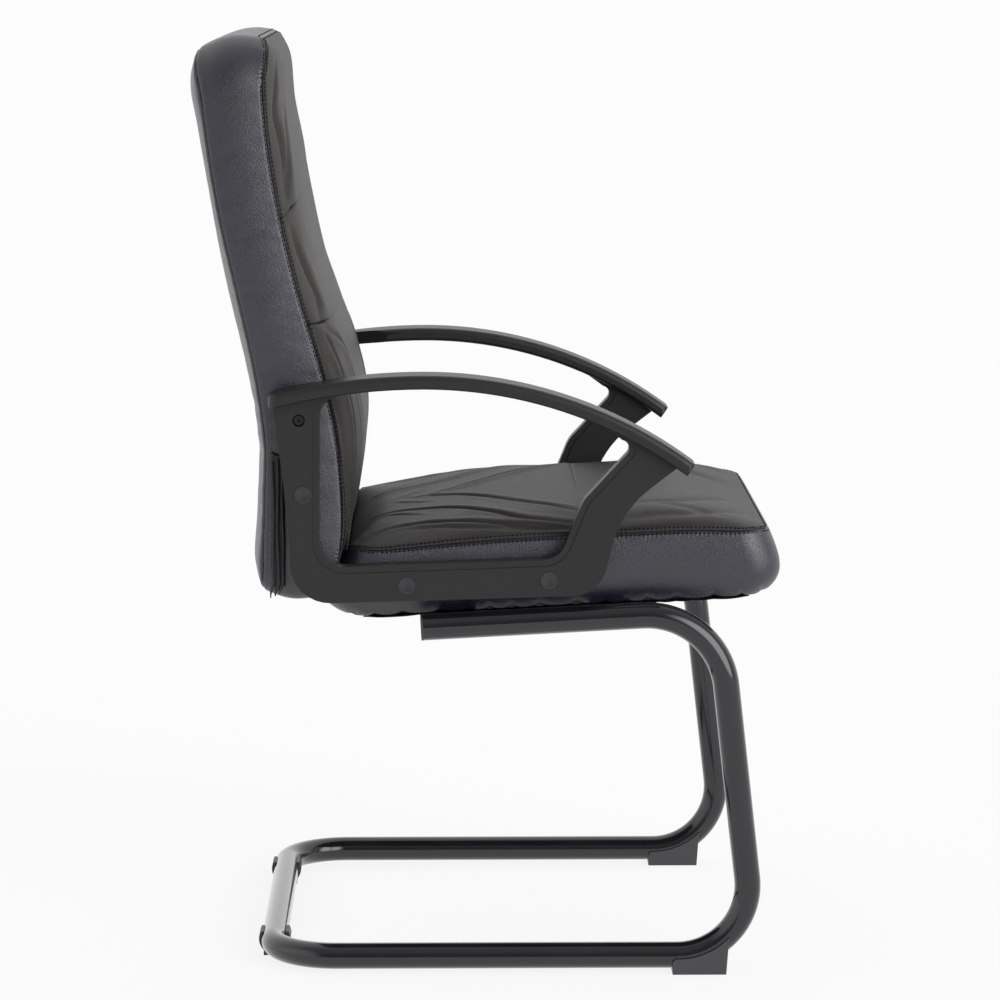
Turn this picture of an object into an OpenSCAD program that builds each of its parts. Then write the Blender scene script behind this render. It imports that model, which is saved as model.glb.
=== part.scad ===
// Visitor chair: a bent steel tube frame with a sprung front, a padded seat, loop arms that
// carry a high padded back, and glides under the four corners.
// The sitter faces -Y, X runs across, Z is up and the floor is at Z = 0. Sizes are in mm.
// "Seat line" is the centre line of the tubes under the seat: heights marked so start there.

/* [Placing] */
// Shift along Y that puts the origin under the middle of the overall box
origin_y = -4.9; // [-10:0.1:10]

/* [Frame tube] */
// Outside diameter of the tube
tube_od = 28; // [25:0.5:30]
// Wall thickness of the tube
tube_wall = 2; // [1.5:0.1:3]
// How far the side tubes' centre lines stand outside the widest part of the seat
tube_out = 10; // [8:0.5:20]
// Centre line radius of the bend under the seat
bend_top_r = 85; // [70:1:95]
// Centre line radius of the bend at the foot of the leg
bend_foot_r = 75; // [65:1:85]
// Centre line radius of the two rear corners
bend_rear_r = 70; // [55:1:80]
// Height of the seat line above the floor, at Y = 0
seat_line_z = 376; // [350:1:400]
// Slope of the seat line, front edge up
seat_tilt = 3; // [2:0.5:4]
// Backward lean of the front legs
leg_lean = 6.5; // [4:0.5:9]
// Y of the middle of the foot bend
foot_y = -198; // [-210:1:-185]
// Y of the rear ends of the tubes under the seat
run_end_y = 71; // [62:1:100]
// Y of the centre line of the rear cross tube
rear_y = 233; // [215:1:250]
// Gap between the tube and the floor
floor_gap = 4; // [3:0.5:7]

/* [Seat plates] */
// Width of each cross plate, front to back
plate_w = 40; // [32:1:46]
// Thickness of each cross plate
plate_t = 4; // [3:0.5:6]
// Height of the plates' top face above the seat line
plate_top = 10; // [8:0.5:11]
// Middle of the front plate along the seat line
plate_front_s = -125; // [-130:1:-110]
// Middle of the rear plate along the seat line
plate_rear_s = 35; // [25:1:38]
// Distance across the chair between the two bolts in a plate
plate_bolt_gap = 200; // [160:1:260]

/* [Glides] */
// Width of a front glide
glide_w = 32; // [32:0.5:38]
// How far a front glide reaches forward of the middle of the foot bend
glide_front = 52; // [44:1:54]
// How far a front glide reaches behind the middle of the foot bend
glide_back = 5; // [3:1:20]
// Diameter of the push-in peg on a front glide
glide_peg_d = 8; // [6:0.5:9]
// How far forward of the middle of the foot bend the peg stands
glide_peg = 34; // [28:1:36]
// Length of a rear glide along the cross tube
clip_len = 30; // [20:1:34]
// Wall thickness of a rear glide round the tube
clip_wall = 3; // [2.5:0.1:3.5]
// How far a rear glide stands from the end of the cross tube's straight
clip_inset = 4; // [2:1:20]

/* [Seat board] */
// How far the sides of the plywood seat board lie inside the widest part of the seat
board_in = 23; // [22:0.5:30]
// Front edge of the board along the seat line
board_front = -270; // [-272:1:-262]
// Rear edge of the board along the seat line
board_rear = 140; // [134:1:142]
// Thickness of the board
board_t = 12; // [9:0.5:13]
// Corner radius of the board
board_corner = 40; // [30:1:60]
// Width of the wooden battens that the arms are bolted to
batten_w = 40; // [36:0.5:46]
// Height of the seat battens
batten_h = 38; // [36:0.5:40]
// Front end of the seat battens along the seat line
batten_front = -112; // [-125:1:-90]
// Rear end of the seat battens along the seat line
batten_rear = 122; // [112:1:126]
// How far the battens' outer faces lie inside the widest part of the seat
batten_in = 8; // [7:0.5:9]
// Thickness of the leather and of its folded hem under the board
leather_t = 1.2; // [1:0.1:1.4]
// Thickness of the dust cover under the seat
dust_t = 0.8; // [0.5:0.1:1]

/* [Seat cushion] */
// Widest width of the seat cushion
seat_w = 490; // [487:0.5:492]
// Height of the sewn edge round the top above the seat line
seat_seam_h = 81; // [76:1:86]
// Front of the sewn edge along the seat line
seat_front = -300; // [-306:1:-294]
// Rear of the sewn edge along the seat line
seat_rear = 144; // [140:1:146]
// How far the front border swells past the sewn edge
seat_nose = 14; // [8:1:20]
// How far the rear border swells past the sewn edge
seat_tail = 26; // [20:1:28]
// Corner radius of the cushion, seen from above
seat_corner = 36; // [32:1:50]
// Height of the crown above the sewn edge
seat_crown = 32; // [18:1:34]
// Place of the seam across the top along the seat line
seat_cross_s = -103; // [-125:1:-80]
// Depth of the sewn channels
channel_depth = 5; // [2:0.5:7]

/* [Back cushion] */
// How far each side of the back lies inside the widest part of the seat
back_in = 2; // [1:0.5:4]
// Height of the top edge above the seat line
back_top = 615; // [590:1:640]
// Height of the bottom edge above the seat line
back_bottom = 23; // [22:1:30]
// Corner radius at the top, seen from the front
back_corner = 55; // [40:1:80]
// Height of the upper seam across the back above the seat line
back_seam_high = 438; // [420:1:470]
// Height of the lower seam across the back above the seat line
back_seam_low = 315; // [290:1:340]
// How far the sides of the back swell past their sewn edges
back_swell = 2.5; // [0.5:0.5:3]
// Thickness of the plywood back board
back_board_t = 10; // [8:0.5:12]
// How far the sides of the back board lie inside the sides of the back
back_board_in = 23; // [22:0.5:32]

/* [Arms] */
// Thickness of the arm loops
arm_t = 24; // [20:0.5:28]
// Gap between an arm and the cushions
arm_gap = 0.5; // [0.3:0.1:1]
// Width of the arm pads
pad_w = 50; // [44:1:56]
// Thickness of the arm pads
pad_t = 14.5; // [12:0.5:17]
// How far a pad stands out past the outer face of its loop
pad_over = 14; // [8:1:16]
// Height of the highest point of the pads above the seat line
pad_top = 265; // [255:1:280]
// Y of the highest point of the pads
pad_peak_y = 70; // [55:1:80]
// Radius of the pads' top in front of the highest point
pad_front_r = 474; // [440:2:520]
// Radius of the pads' top behind the highest point
pad_rear_r = 650; // [600:5:750]
// Y of the front tip of the pads
pad_front_y = -213; // [-225:1:-205]
// Y of the rear end of the pads
pad_rear_y = 232; // [225:1:240]
// Depth of the step that runs round the inside of the loops
rim_step = 1.5; // [0.5:0.5:3]
// Width of the step that runs round the inside of the loops
rim_w = 7; // [4:0.5:9]

/* [Fixings] */
// Shank diameter of the bolts that hold the arms and the seat plates
bolt_d = 8; // [7:0.5:8.5]
// Diameter of the bolts' heads
bolt_head_d = 13; // [12:0.5:14]
// Height of the bolts' heads
bolt_head_h = 5.5; // [4:0.5:6]
// Diameter of the caps and of the recesses that they close
cap_d = 18.4; // [17.5:0.1:20]
// Depth of the recesses in the arms
recess_depth = 12; // [11:0.5:13]
// Shank diameter of the screws at the top of the arms
screw_d = 6; // [5:0.5:6.5]
// Diameter of the open recess round each of those screws
screw_recess_d = 13; // [12:0.5:15]
// Running clearance of bolts, caps and inserts in their holes
fit = 0.2; // [0.1:0.05:0.3]
// Clearance between soft parts and what they lie against
soft_gap = 0.3; // [0.2:0.05:0.4]

/* [Hidden] */
$fn = 48;
far = 600;
hairline = 0.02;
tube_r = tube_od / 2;
half_gauge = seat_w / 2 + tube_out;
board_w = seat_w - 2 * board_in;
back_w = seat_w - 2 * back_in;
back_board_w = back_w - 2 * back_board_in;
rail_z = floor_gap + tube_r;

// Route of a side tube in the YZ plane, as [y, z] points
foot_c = [foot_y, rail_z + bend_foot_r];
leg_dir = [sin(leg_lean), cos(leg_lean)];
leg_out = [-cos(leg_lean), sin(leg_lean)];
leg_start = foot_c + bend_foot_r * leg_out;
top_c0 = leg_start - bend_top_r * leg_out;
run_normal = [sin(seat_tilt), cos(seat_tilt)];
run_rise = top_c0[1] + bend_top_r * run_normal[1]
    + (top_c0[0] + bend_top_r * run_normal[0]) * tan(seat_tilt);
top_sweep = 90 + seat_tilt - leg_lean;
leg_len = (seat_line_z - run_rise) / (cos(leg_lean) + sin(leg_lean) * tan(seat_tilt));
top_c = top_c0 + leg_len * leg_dir;
run_start = top_c + bend_top_r * run_normal;
run_len = (run_end_y - run_start[0]) / cos(seat_tilt);
rail_len = rear_y - bend_rear_r - foot_y;
run_end_z = seat_line_z - run_end_y * tan(seat_tilt);
cross_half = half_gauge - bend_rear_r;

// Welds, plugs and glides of the frame
weld_gap = 0.1;
ring_len = 1;
plug_cap_t = 2.5;
plug_len = 20;
clip_foot_w = 24;
clip_wrap = 8;
glide_nose_z = foot_c[1] - sqrt(bend_foot_r ^ 2 - (glide_front + 3) ^ 2);
glide_peg_z = foot_c[1] - sqrt((bend_foot_r + tube_r + fit) ^ 2 - glide_peg ^ 2) - 3;
peg_len = 18;
peg_top = glide_peg_z + peg_len;

// Layers of the seat, as heights above the seat line
lip_h = plate_top + dust_t;
board_h = lip_h + leather_t;
board_top_h = board_h + board_t;
batten_x = seat_w / 2 - batten_in;
nut_flange_d = 22;
nut_flange_t = 1.5;
nut_barrel_d = 10;
washer_d = 17;
washer_t = 1.6;
insert_d = 11;
insert_len = 20;
seat_bolt_len = washer_t + plate_t + dust_t + leather_t + board_t - 1;
seat_bolt_places = [
    for (x = [-1, 1], s = [plate_front_s, plate_rear_s]) [x * plate_bolt_gap / 2, s]
];
batten_screw_s = [-90, 5, 98];
batten_screw_in = 12;
batten_screw_d = 4;
dust_in = 18;
dust_in_rear = 8;
foam_in = 18;
foam_half = seat_w / 2 - foam_in;
foam_front = -276;
foam_rear = 133;
foam_corner = 34;

// Arms: fixings as [y, height above the seat line]
arm_inner_x = seat_w / 2 + arm_gap;
arm_outer_x = arm_inner_x + arm_t;
arm_seat_bolts = [[88, 43], [-61, 48]];
arm_back_bolt = [196, 139];
arm_back_screw = [200, 217];
arm_bolts_yz = concat(arm_seat_bolts, [arm_back_bolt]);
bolt_seat_x = arm_outer_x - recess_depth;
screw_seat_x = arm_outer_x - 9;
cap_proud = 0.8;
cap_len = 4;
pad_outer_x = arm_outer_x + pad_over;
pad_inner_x = pad_outer_x - pad_w;
pad_front_c = [pad_peak_y, pad_top - pad_front_r];
pad_rear_c = [pad_peak_y, pad_top - pad_rear_r];
pad_front_sweep = asin((pad_peak_y - pad_front_y) / pad_front_r);

// Sewn edges of the back, as [height above the seat line, y]
back_front_edge = [
    [22, 186], [64, 158], [172, 158], [264, 176], [344, 199], [424, 218], [504, 231], [624, 241]
];
back_rear_edge = [
    [22, 239], [64, 241], [130, 239], [190, 238], [264, 248], [344, 265], [424, 283], [504, 296],
    [574, 303], [615, 303]
];
back_depth = [
    [22, 0], [74, 4], [94, 8], [123, 14], [170, 23], [201, 28], [227, 29], [278, 27], [326, 25],
    [363, 22], [436, 22.5], [477, 22], [533, 18], [573, 19], [615, 23]
];
rear_depth = [
    [22, 14], [43, 14], [80, 9], [116, 7], [214, 7.5], [295, 10.5], [357, 11], [443, 7], [519, 9.5],
    [551, 14.5], [572, 17], [615, 18]
];

// Inside of the back: heights start at the seat line
board_low = 38;
board_high = 598;
board_front_dy = -soft_gap - back_board_t;
back_batten_x = back_w / 2 - 5;
back_batten_w = 40;
back_batten_y = 180;
back_batten_low = 104;
back_batten_high = 254;
back_screw_h = [120, 178, 236];
back_screw_bite = 20;
back_foam_half = back_w / 2 - 16;
zip_x = back_w / 2 - 4;
zip_t = 2;
zip_y = 217;
zip_w = 13;
zip_h = 42;
zip_len = 132;

// Columns and rows of the padded forms, the rows as shares of the way along each form
cols = 24;
seat_rows = [7, 8];
seat_last = seat_rows[0] + seat_rows[1];
seat_levels = [0, 0.1, 0.3, 0.55, 0.8, 1];
seat_channels = [2, 5, 8, 16, 19, 22];
cross_v = (seat_cross_s - seat_front) / (seat_rear - seat_front);
seat_v = concat(
    [for (j = [0:seat_rows[0]]) cross_v * (1 - cos(90 * j / seat_rows[0]))],
    [for (j = [1:seat_rows[1]]) 1 - (1 - cross_v) * (1 - cos(90 - 90 * j / seat_rows[1]))]
);
back_rows = [10, 4, 8];
back_high_row = back_rows[0] + back_rows[1];
back_last = back_high_row + back_rows[2];
back_low_v = (back_seam_low - back_bottom) / (back_top - back_bottom);
back_high_v = (back_seam_high - back_bottom) / (back_top - back_bottom);
back_v = concat(
    [for (j = [0:back_rows[0]]) back_low_v * (1 - cos(90 * j / back_rows[0]))],
    [for (j = [1:back_rows[1]]) lerp(back_low_v, back_high_v, j / back_rows[1])],
    [for (j = [1:back_rows[2]]) 1 - (1 - back_high_v) * (1 - cos(90 - 90 * j / back_rows[2]))]
);

// General geometry

function lerp(a, b, t) = a + (b - a) * t;
function reversed(list) = [for (i = [len(list) - 1:-1:0]) list[i]];

// Smooth curve through rows of [x, y]
function span_of(k, x, i = 0) = i >= len(k) - 2 || x < k[i + 1][0] ? i : span_of(k, x, i + 1);
function knot_slope(k, i) =
    let (a = k[max(i - 1, 0)], b = k[min(i + 1, len(k) - 1)]) (b[1] - a[1]) / (b[0] - a[0]);
function curve(k, x) =
    let (
        i = span_of(k, x),
        w = k[i + 1][0] - k[i][0],
        t = (x - k[i][0]) / w
    )
    (2 * t ^ 3 - 3 * t ^ 2 + 1) * k[i][1] + (t ^ 3 - 2 * t ^ 2 + t) * w * knot_slope(k, i)
    + (3 * t ^ 2 - 2 * t ^ 3) * k[i + 1][1] + (t ^ 3 - t ^ 2) * w * knot_slope(k, i + 1);

// Arc that rounds the corner b on the way from a to c, moved to its outer side by grow
function unit(v) = v / norm(v);
function corner_arc(a, b, c, r, grow = 0, steps = 8) =
    r == 0 ? [b] :
    let (
        u = unit(a - b),
        w = unit(c - b),
        half = acos(u * w) / 2,
        hand = u[0] * w[1] - u[1] * w[0] > 0 ? -1 : 1,
        centre = b + unit(u + w) * r / sin(half),
        q = (b + u * r / tan(half) - centre) * (r + hand * grow) / r
    )
    [for (i = [0:steps]) let (g = hand * (180 - 2 * half) * i / steps)
        centre + [q[0] * cos(g) - q[1] * sin(g), q[0] * sin(g) + q[1] * cos(g)]];

// Outline through corners given as [x, y, radius], with each corner rounded
function flat2(p) = [p[0], p[1]];
function rounded(pts) =
    let (n = len(pts))
    [for (i = [0:n - 1])
        each corner_arc(flat2(pts[(i + n - 1) % n]), flat2(pts[i]), flat2(pts[(i + 1) % n]),
                        pts[i][2])];

// Extrusion across the chair of an outline drawn in [y, z], from x0 to x1
module across(x0, x1) {
    translate([x0, 0, 0]) rotate([90, 0, 90]) linear_extrude(x1 - x0) children();
}

// Round bar or bore across the chair
module bar_x(d, x0, x1, yz) {
    translate([x0, yz[0], yz[1]]) rotate([0, 90, 0]) cylinder(d = d, h = x1 - x0);
}

module right_or_left(side) {
    mirror([side == "right" ? 1 : 0, 0, 0]) children();
}

module both_sides() {
    children();
    mirror([1, 0, 0]) children();
}

// Frame of the seat line: local Y runs along it and local Z stands square to it
module on_seat() {
    translate([0, origin_y, seat_line_z]) rotate([-seat_tilt, 0, 0]) children();
}

module above_seat_line() {
    translate([0, origin_y, seat_line_z]) children();
}

// A point [y, height] of the arms, seen in the frame of the seat line
function to_seat(p) = [
    p[0] * cos(seat_tilt) - p[1] * sin(seat_tilt), p[0] * sin(seat_tilt) + p[1] * cos(seat_tilt)
];

// Frame

module tube_section(r_out, r_in) {
    difference() {
        circle(r_out);
        if (r_in > 0) circle(r_in);
    }
}

module tube(len, r_out, r_in) {
    rotate([-90, 0, 0]) linear_extrude(len) tube_section(r_out, r_in);
}

module tube_bend(r, sweep, r_out, r_in) {
    rotate_extrude(angle = sweep, $fn = 96) translate([r, 0]) tube_section(r_out, r_in);
}

// Rail and foot bend, drawn in the plane of a side tube from the point where they meet
module rail_and_foot(r_out, r_in) {
    translate([0, foot_y, rail_z]) tube(rail_len, r_out, r_in);
    translate([0, foot_c[0], foot_c[1]]) rotate([90, 0, 90]) mirror([0, 1, 0])
        rotate([0, 0, 90]) tube_bend(bend_foot_r, 90 + leg_lean, r_out, r_in);
}

// A length that starts a hairline away from the bend before it. A ring inside the wall
// joins the two, so the whole tube is one solid.
module joined_tube(len) {
    translate([0, hairline, 0]) tube(len - hairline, tube_r, tube_r - tube_wall);
    translate([0, -ring_len / 2, 0]) tube(ring_len, tube_r - 0.1, tube_r - tube_wall + 0.1);
}

// Side tube drawn from its leg: the bends start at the ends of the leg
module side_route() {
    translate([0, foot_y, rail_z]) joined_tube(rail_len);
    translate([0, foot_c[0], foot_c[1]]) rotate([90, 0, 90]) rotate([0, 0, 180 - leg_lean]) {
        tube_bend(bend_foot_r, 90 + leg_lean, tube_r, tube_r - tube_wall);
        translate([bend_foot_r, -leg_len, 0]) tube(leg_len, tube_r, tube_r - tube_wall);
        translate([bend_foot_r - bend_top_r, -leg_len, 0]) mirror([0, 1, 0]) {
            tube_bend(bend_top_r, top_sweep, tube_r, tube_r - tube_wall);
            rotate([0, 0, top_sweep]) translate([bend_top_r, 0, 0]) joined_tube(run_len);
        }
    }
}

module side_tube() {
    translate([half_gauge, origin_y, 0]) difference() {
        side_route();
        translate([0, foot_y - glide_peg, 0]) cylinder(d = glide_peg_d + 2 * fit, h = peg_top + 2);
    }
}

module side_tube_right() { color([0.09, 0.09, 0.1]) right_or_left("right") side_tube(); }
module side_tube_left() { color([0.09, 0.09, 0.1]) right_or_left("left") side_tube(); }

module rear_cross_tube() {
    color([0.09, 0.09, 0.1]) translate([0, origin_y, rail_z]) {
        translate([-cross_half, rear_y, 0]) rotate([0, 90, 0]) linear_extrude(2 * cross_half)
            tube_section(tube_r, tube_r - tube_wall);
        both_sides() translate([cross_half, rear_y - bend_rear_r, 0])
            rotate_extrude(angle = 90, $fn = 96) translate([bend_rear_r, 0])
                tube_section(tube_r, tube_r - tube_wall);
    }
}

// Flat bar across the frame, its ends cut round to sit on the tubes for the weld
module seat_plate(s) {
    on_seat() difference() {
        translate([-half_gauge, s - plate_w / 2, plate_top - plate_t])
            cube([2 * half_gauge, plate_w, plate_t]);
        for (x = [-half_gauge, half_gauge]) translate([x, s - plate_w, 0]) rotate([-90, 0, 0])
            cylinder(r = tube_r + weld_gap, h = 2 * plate_w);
        for (x = [-1, 1]) translate([x * plate_bolt_gap / 2, s, plate_top - 2 * plate_t])
            cylinder(d = bolt_d + 2 * fit, h = 3 * plate_t);
    }
}

module front_seat_plate() { color([0.1, 0.1, 0.11]) seat_plate(plate_front_s); }
module rear_seat_plate() { color([0.1, 0.1, 0.11]) seat_plate(plate_rear_s); }

// Plastic plugs in the open rear ends of the side tubes
module tube_end_plugs() {
    color([0.14, 0.14, 0.15]) both_sides() translate([half_gauge, run_end_y + origin_y, run_end_z])
        rotate([-90 - seat_tilt, 0, 0]) {
            cylinder(r = tube_r, h = plug_cap_t);
            translate([0, 0, -plug_len]) cylinder(r = tube_r - tube_wall - fit, h = plug_len);
        }
}

// Wedge glide under the foot bend: it cups the lower half of the tube and has a peg
module front_glide() {
    translate([half_gauge, origin_y, 0]) {
        difference() {
            across(-glide_w / 2, glide_w / 2) polygon([
                [foot_y + glide_back, 0], [foot_y + glide_back, rail_z - 5],
                [foot_y - 10, rail_z + 13], foot_c,
                [foot_y - glide_front - 3, glide_nose_z], [foot_y - glide_front, 0]
            ]);
            bar_x(2 * bend_foot_r + 3, -glide_w, glide_w, foot_c);
            rail_and_foot(tube_r + fit, 0);
        }
        translate([0, foot_y - glide_peg, glide_peg_z]) cylinder(d = glide_peg_d, h = peg_len);
    }
}

module front_glide_right() { color([0.13, 0.13, 0.14]) right_or_left("right") front_glide(); }
module front_glide_left() { color([0.13, 0.13, 0.14]) right_or_left("left") front_glide(); }

// Snap-on saddle glide near each end of the rear cross tube
module rear_glide() {
    translate([0, origin_y, 0])
        across(cross_half - clip_inset - clip_len, cross_half - clip_inset) difference() {
        union() {
            translate([rear_y, rail_z]) circle(r = tube_r + clip_wall);
            translate([rear_y - clip_foot_w / 2, 0]) square([clip_foot_w, rail_z]);
        }
        translate([rear_y, rail_z]) circle(r = tube_r + fit);
        translate([rear_y - tube_od, rail_z + clip_wrap]) square([2 * tube_od, tube_od]);
        translate([rear_y - tube_od, -tube_od]) square([2 * tube_od, tube_od]);
    }
}

module rear_glide_right() { color([0.13, 0.13, 0.14]) right_or_left("right") rear_glide(); }
module rear_glide_left() { color([0.13, 0.13, 0.14]) right_or_left("left") rear_glide(); }

// Seat

// Rounded rectangle in plan, from s0 to s1 along the seat line
module plan_plate(w, s0, s1, r, h0, h1) {
    translate([0, 0, h0]) linear_extrude(h1 - h0) polygon(rounded([
        [-w / 2, s0, r], [w / 2, s0, r], [w / 2, s1, r], [-w / 2, s1, r]
    ]));
}

module seat_board() {
    color([0.72, 0.56, 0.38]) on_seat() difference() {
        plan_plate(board_w, board_front, board_rear, board_corner, board_h, board_top_h);
        for (p = seat_bolt_places) translate([p[0], p[1], 0]) {
            cylinder(d = nut_barrel_d + 2 * fit, h = board_top_h + 1);
            translate([0, 0, board_top_h - nut_flange_t - fit])
                cylinder(d = nut_flange_d + 2 * fit, h = board_t);
        }
        seat_screw_holes();
    }
}

module seat_screw_holes() {
    both_sides() for (s = batten_screw_s)
        translate([batten_x - batten_w + batten_screw_in, s, board_h - 1]) {
            cylinder(d = batten_screw_d + 2 * fit, h = board_t + batten_h - 6);
            cylinder(d = 2 * batten_screw_d + 2 * fit, h = 4);
        }
}

// Battens on the board's sides take the bolts of the arms
module seat_battens() {
    color([0.78, 0.62, 0.42]) on_seat() difference() {
        both_sides() translate([batten_x - batten_w, batten_front, board_top_h])
            cube([batten_w, batten_rear - batten_front, batten_h]);
        both_sides() for (p = arm_seat_bolts)
            bar_x(insert_d + 2 * fit, batten_x - insert_len - 1, batten_x + 1, to_seat(p));
        seat_screw_holes();
    }
}

module seat_batten_screws() {
    color([0.7, 0.7, 0.68]) on_seat() both_sides() for (s = batten_screw_s)
        translate([batten_x - batten_w + batten_screw_in, s, board_h]) {
            cylinder(d = batten_screw_d, h = board_t + batten_h - 10);
            cylinder(d = 2 * batten_screw_d, h = 2.5);
        }
}

module seat_t_nuts() {
    color([0.75, 0.74, 0.7]) on_seat() for (p = seat_bolt_places)
        translate([p[0], p[1], board_top_h - nut_flange_t]) difference() {
            union() {
                cylinder(d = nut_flange_d, h = nut_flange_t);
                translate([0, 0, 1 - board_t + nut_flange_t])
                    cylinder(d = nut_barrel_d, h = board_t - nut_flange_t - 1);
            }
            translate([0, 0, -board_t]) cylinder(d = bolt_d, h = 2 * board_t);
        }
}

module seat_bolts() {
    color([0.2, 0.2, 0.21]) on_seat() for (p = seat_bolt_places)
        translate([p[0], p[1], plate_top - plate_t - washer_t]) {
            translate([0, 0, -bolt_head_h]) cylinder(d = bolt_head_d, h = bolt_head_h);
            cylinder(d = bolt_d - fit, h = seat_bolt_len);
        }
}

module seat_bolt_washers() {
    color([0.6, 0.6, 0.6]) on_seat() for (p = seat_bolt_places)
        translate([p[0], p[1], plate_top - plate_t - washer_t]) difference() {
            cylinder(d = washer_d, h = washer_t);
            translate([0, 0, -1]) cylinder(d = bolt_d + 2 * fit, h = washer_t + 2);
        }
}

module seat_foam() {
    color([0.86, 0.8, 0.6]) on_seat() difference() {
        plan_plate(2 * foam_half, foam_front, foam_rear, foam_corner, board_top_h, seat_seam_h);
        both_sides() translate([batten_x - batten_w - soft_gap, batten_front - soft_gap, 0])
            cube([far, batten_rear - batten_front + 2 * soft_gap,
                  board_top_h + batten_h + soft_gap]);
    }
}

// Thin sheet stapled under the board over the leather's folded hem
module seat_dust_cover() {
    color([0.12, 0.12, 0.12]) on_seat() difference() {
        plan_plate(board_w - 2 * dust_in, board_front + dust_in, board_rear - dust_in_rear,
                   board_corner, plate_top, lip_h);
        for (p = seat_bolt_places) translate([p[0], p[1], 0])
            cylinder(d = bolt_d + 2, h = lip_h + 1);
    }
}

// Padded forms
// A form is a grid of rows and columns. Row ends lie on the sewn edge, and the first and the
// last row close it. Columns are evenly spaced, and rows crowd towards both ends.

// Half width of a rounded outline, at distances d0 and d1 from its two ends
function round_in(d, r) = d >= r ? 0 : r - sqrt(max(0, r ^ 2 - (r - d) ^ 2));
function half_width(w, d0, r0, d1, r1) = w - round_in(d0, r0) - round_in(d1, r1);

// Swell of a padded panel between its sewn sides and its ends, from 0 to 1
function side_swell(u, p) = sqrt(max(0, 1 - abs(u) ^ p));
function end_swell(d, reach) = d >= reach ? 1 : sqrt(max(0, 1 - (1 - d / reach) ^ 2));

// Point indices round the edge of a form with n columns and m rows
function edge_left(j, n, m) = j == 0 ? 0 : 2 * n + 2 * m - j;
function edge_right(j, n, m) = n + j;
function edge_count(n, m) = 2 * (n + m);

// Faces that close an edge loop with one flat strip for each row
function strip_faces(n, m, base, flip) = [for (j = [0:m - 1])
    let (
        low = j == 0 ? [for (i = [0:n]) i] : [edge_left(j, n, m), edge_right(j, n, m)],
        high = j == m - 1 ? [for (i = [0:n]) n + m + i]
            : [edge_right(j + 1, n, m), edge_left(j + 1, n, m)],
        pair = [for (k = j == 0 ? high : low) base + k],
        chain = [for (k = j == 0 ? low : high) base + k]
    )
    flip ? concat(reversed(pair), reversed(chain)) : concat(pair, chain)];

// Solid between a stack of edge loops, closed by strips at both ends
module loop_solid(loops, n, m) {
    c = edge_count(n, m);
    last = len(loops) - 1;
    polyhedron(
        points = [for (loop = loops) each loop],
        faces = concat(
            strip_faces(n, m, 0, false),
            strip_faces(n, m, last * c, true),
            [for (k = [0:last - 1], i = [0:c - 1]) let (a = k * c + i, b = k * c + (i + 1) % c)
                each [[a, a + c, b], [b, a + c, b + c]]]
        )
    );
}

// Padded panel: a grid of points over rows j0 to j1, closed below by flat strips
module panel_solid(point, n, j0, j1, last_row, flip) {
    rows = j1 - j0;
    row_ids = function (j) [for (i = [0:n]) j * (n + 1) + i];
    base_ids = function (j) j + j0 == 0 || j + j0 == last_row ? row_ids(j)
        : [j * (n + 1), j * (n + 1) + n];
    top = [for (j = [0:rows - 1], i = [0:n - 1]) let (
            a = j * (n + 1) + i,
            c = a + n + 1
        )
        each ((i < n / 2) == (j + j0 >= last_row / 2)
            ? [[a, c, a + 1], [a + 1, c, c + 1]] : [[a, c, c + 1], [a, c + 1, a + 1]])];
    turned = function (f) flip ? reversed(f) : f;
    under = [for (j = [0:rows - 1]) let (low = base_ids(j), high = reversed(base_ids(j + 1)))
        j == 0 ? concat(turned(high), turned(low)) : concat(turned(low), turned(high))];
    walls = concat(
        j0 == 0 ? [] : [turned(row_ids(0))],
        j1 == last_row ? [] : [turned(reversed(row_ids(rows)))]
    );
    polyhedron(
        points = [for (j = [j0:j1], i = [0:n]) point(i, j)],
        faces = concat([for (f = top) turned(f)], under, walls)
    );
}

// Edge loop of a form from a function of column and row
function edge_loop(point, n, m) = concat(
    [for (i = [0:n]) point(i, 0)],
    [for (j = [1:m - 1]) point(n, j)],
    [for (i = [n:-1:0]) point(i, m)],
    [for (j = [m - 1:-1:1]) point(0, j)]
);

// Seat form: f runs from 0 at the hem to 1 at the sewn edge
function seat_s0(f) = seat_front + 8 * (1 - f) ^ 2 - seat_nose * sin(180 * f ^ 0.65) ^ 1.2;
function seat_s1(f) = seat_rear + 6 * (1 - f) + seat_tail * sin(180 * f ^ 0.65) ^ 1.3;
function seat_half(f, v) =
    seat_w / 2 - 3 * f ^ 3 - 12 * (1 - f) ^ 4 - 2 * (1 - (2 * v - 1) ^ 2);
function seat_edge(i, j, f) =
    let (
        s0 = seat_s0(f),
        s1 = seat_s1(f),
        s = lerp(s0, s1, seat_v[j]),
        w = half_width(seat_half(f, seat_v[j]), s - s0, seat_corner, s1 - s, seat_corner)
    )
    [w * (2 * i / cols - 1), s, lerp(lip_h, seat_seam_h, f)];

// The seat's crown: a low waterfall at the front and a tight roll at the back
function seat_dip(i, j) =
    (j == seat_rows[0] ? channel_depth : 0)
    + (j > seat_rows[0] && search(i, seat_channels) != [] ? channel_depth : 0);
function seat_top_point(i, j) =
    let (
        e = seat_edge(i, j, 1),
        front = sin(90 * min(1, (e[1] - seat_front) / 110)),
        rear = end_swell(seat_rear - e[1], 26),
        swell = side_swell(2 * i / cols - 1, 10) * front * rear
    )
    [e[0], e[1], e[2] + swell * (seat_crown - seat_dip(i, j))];

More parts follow.
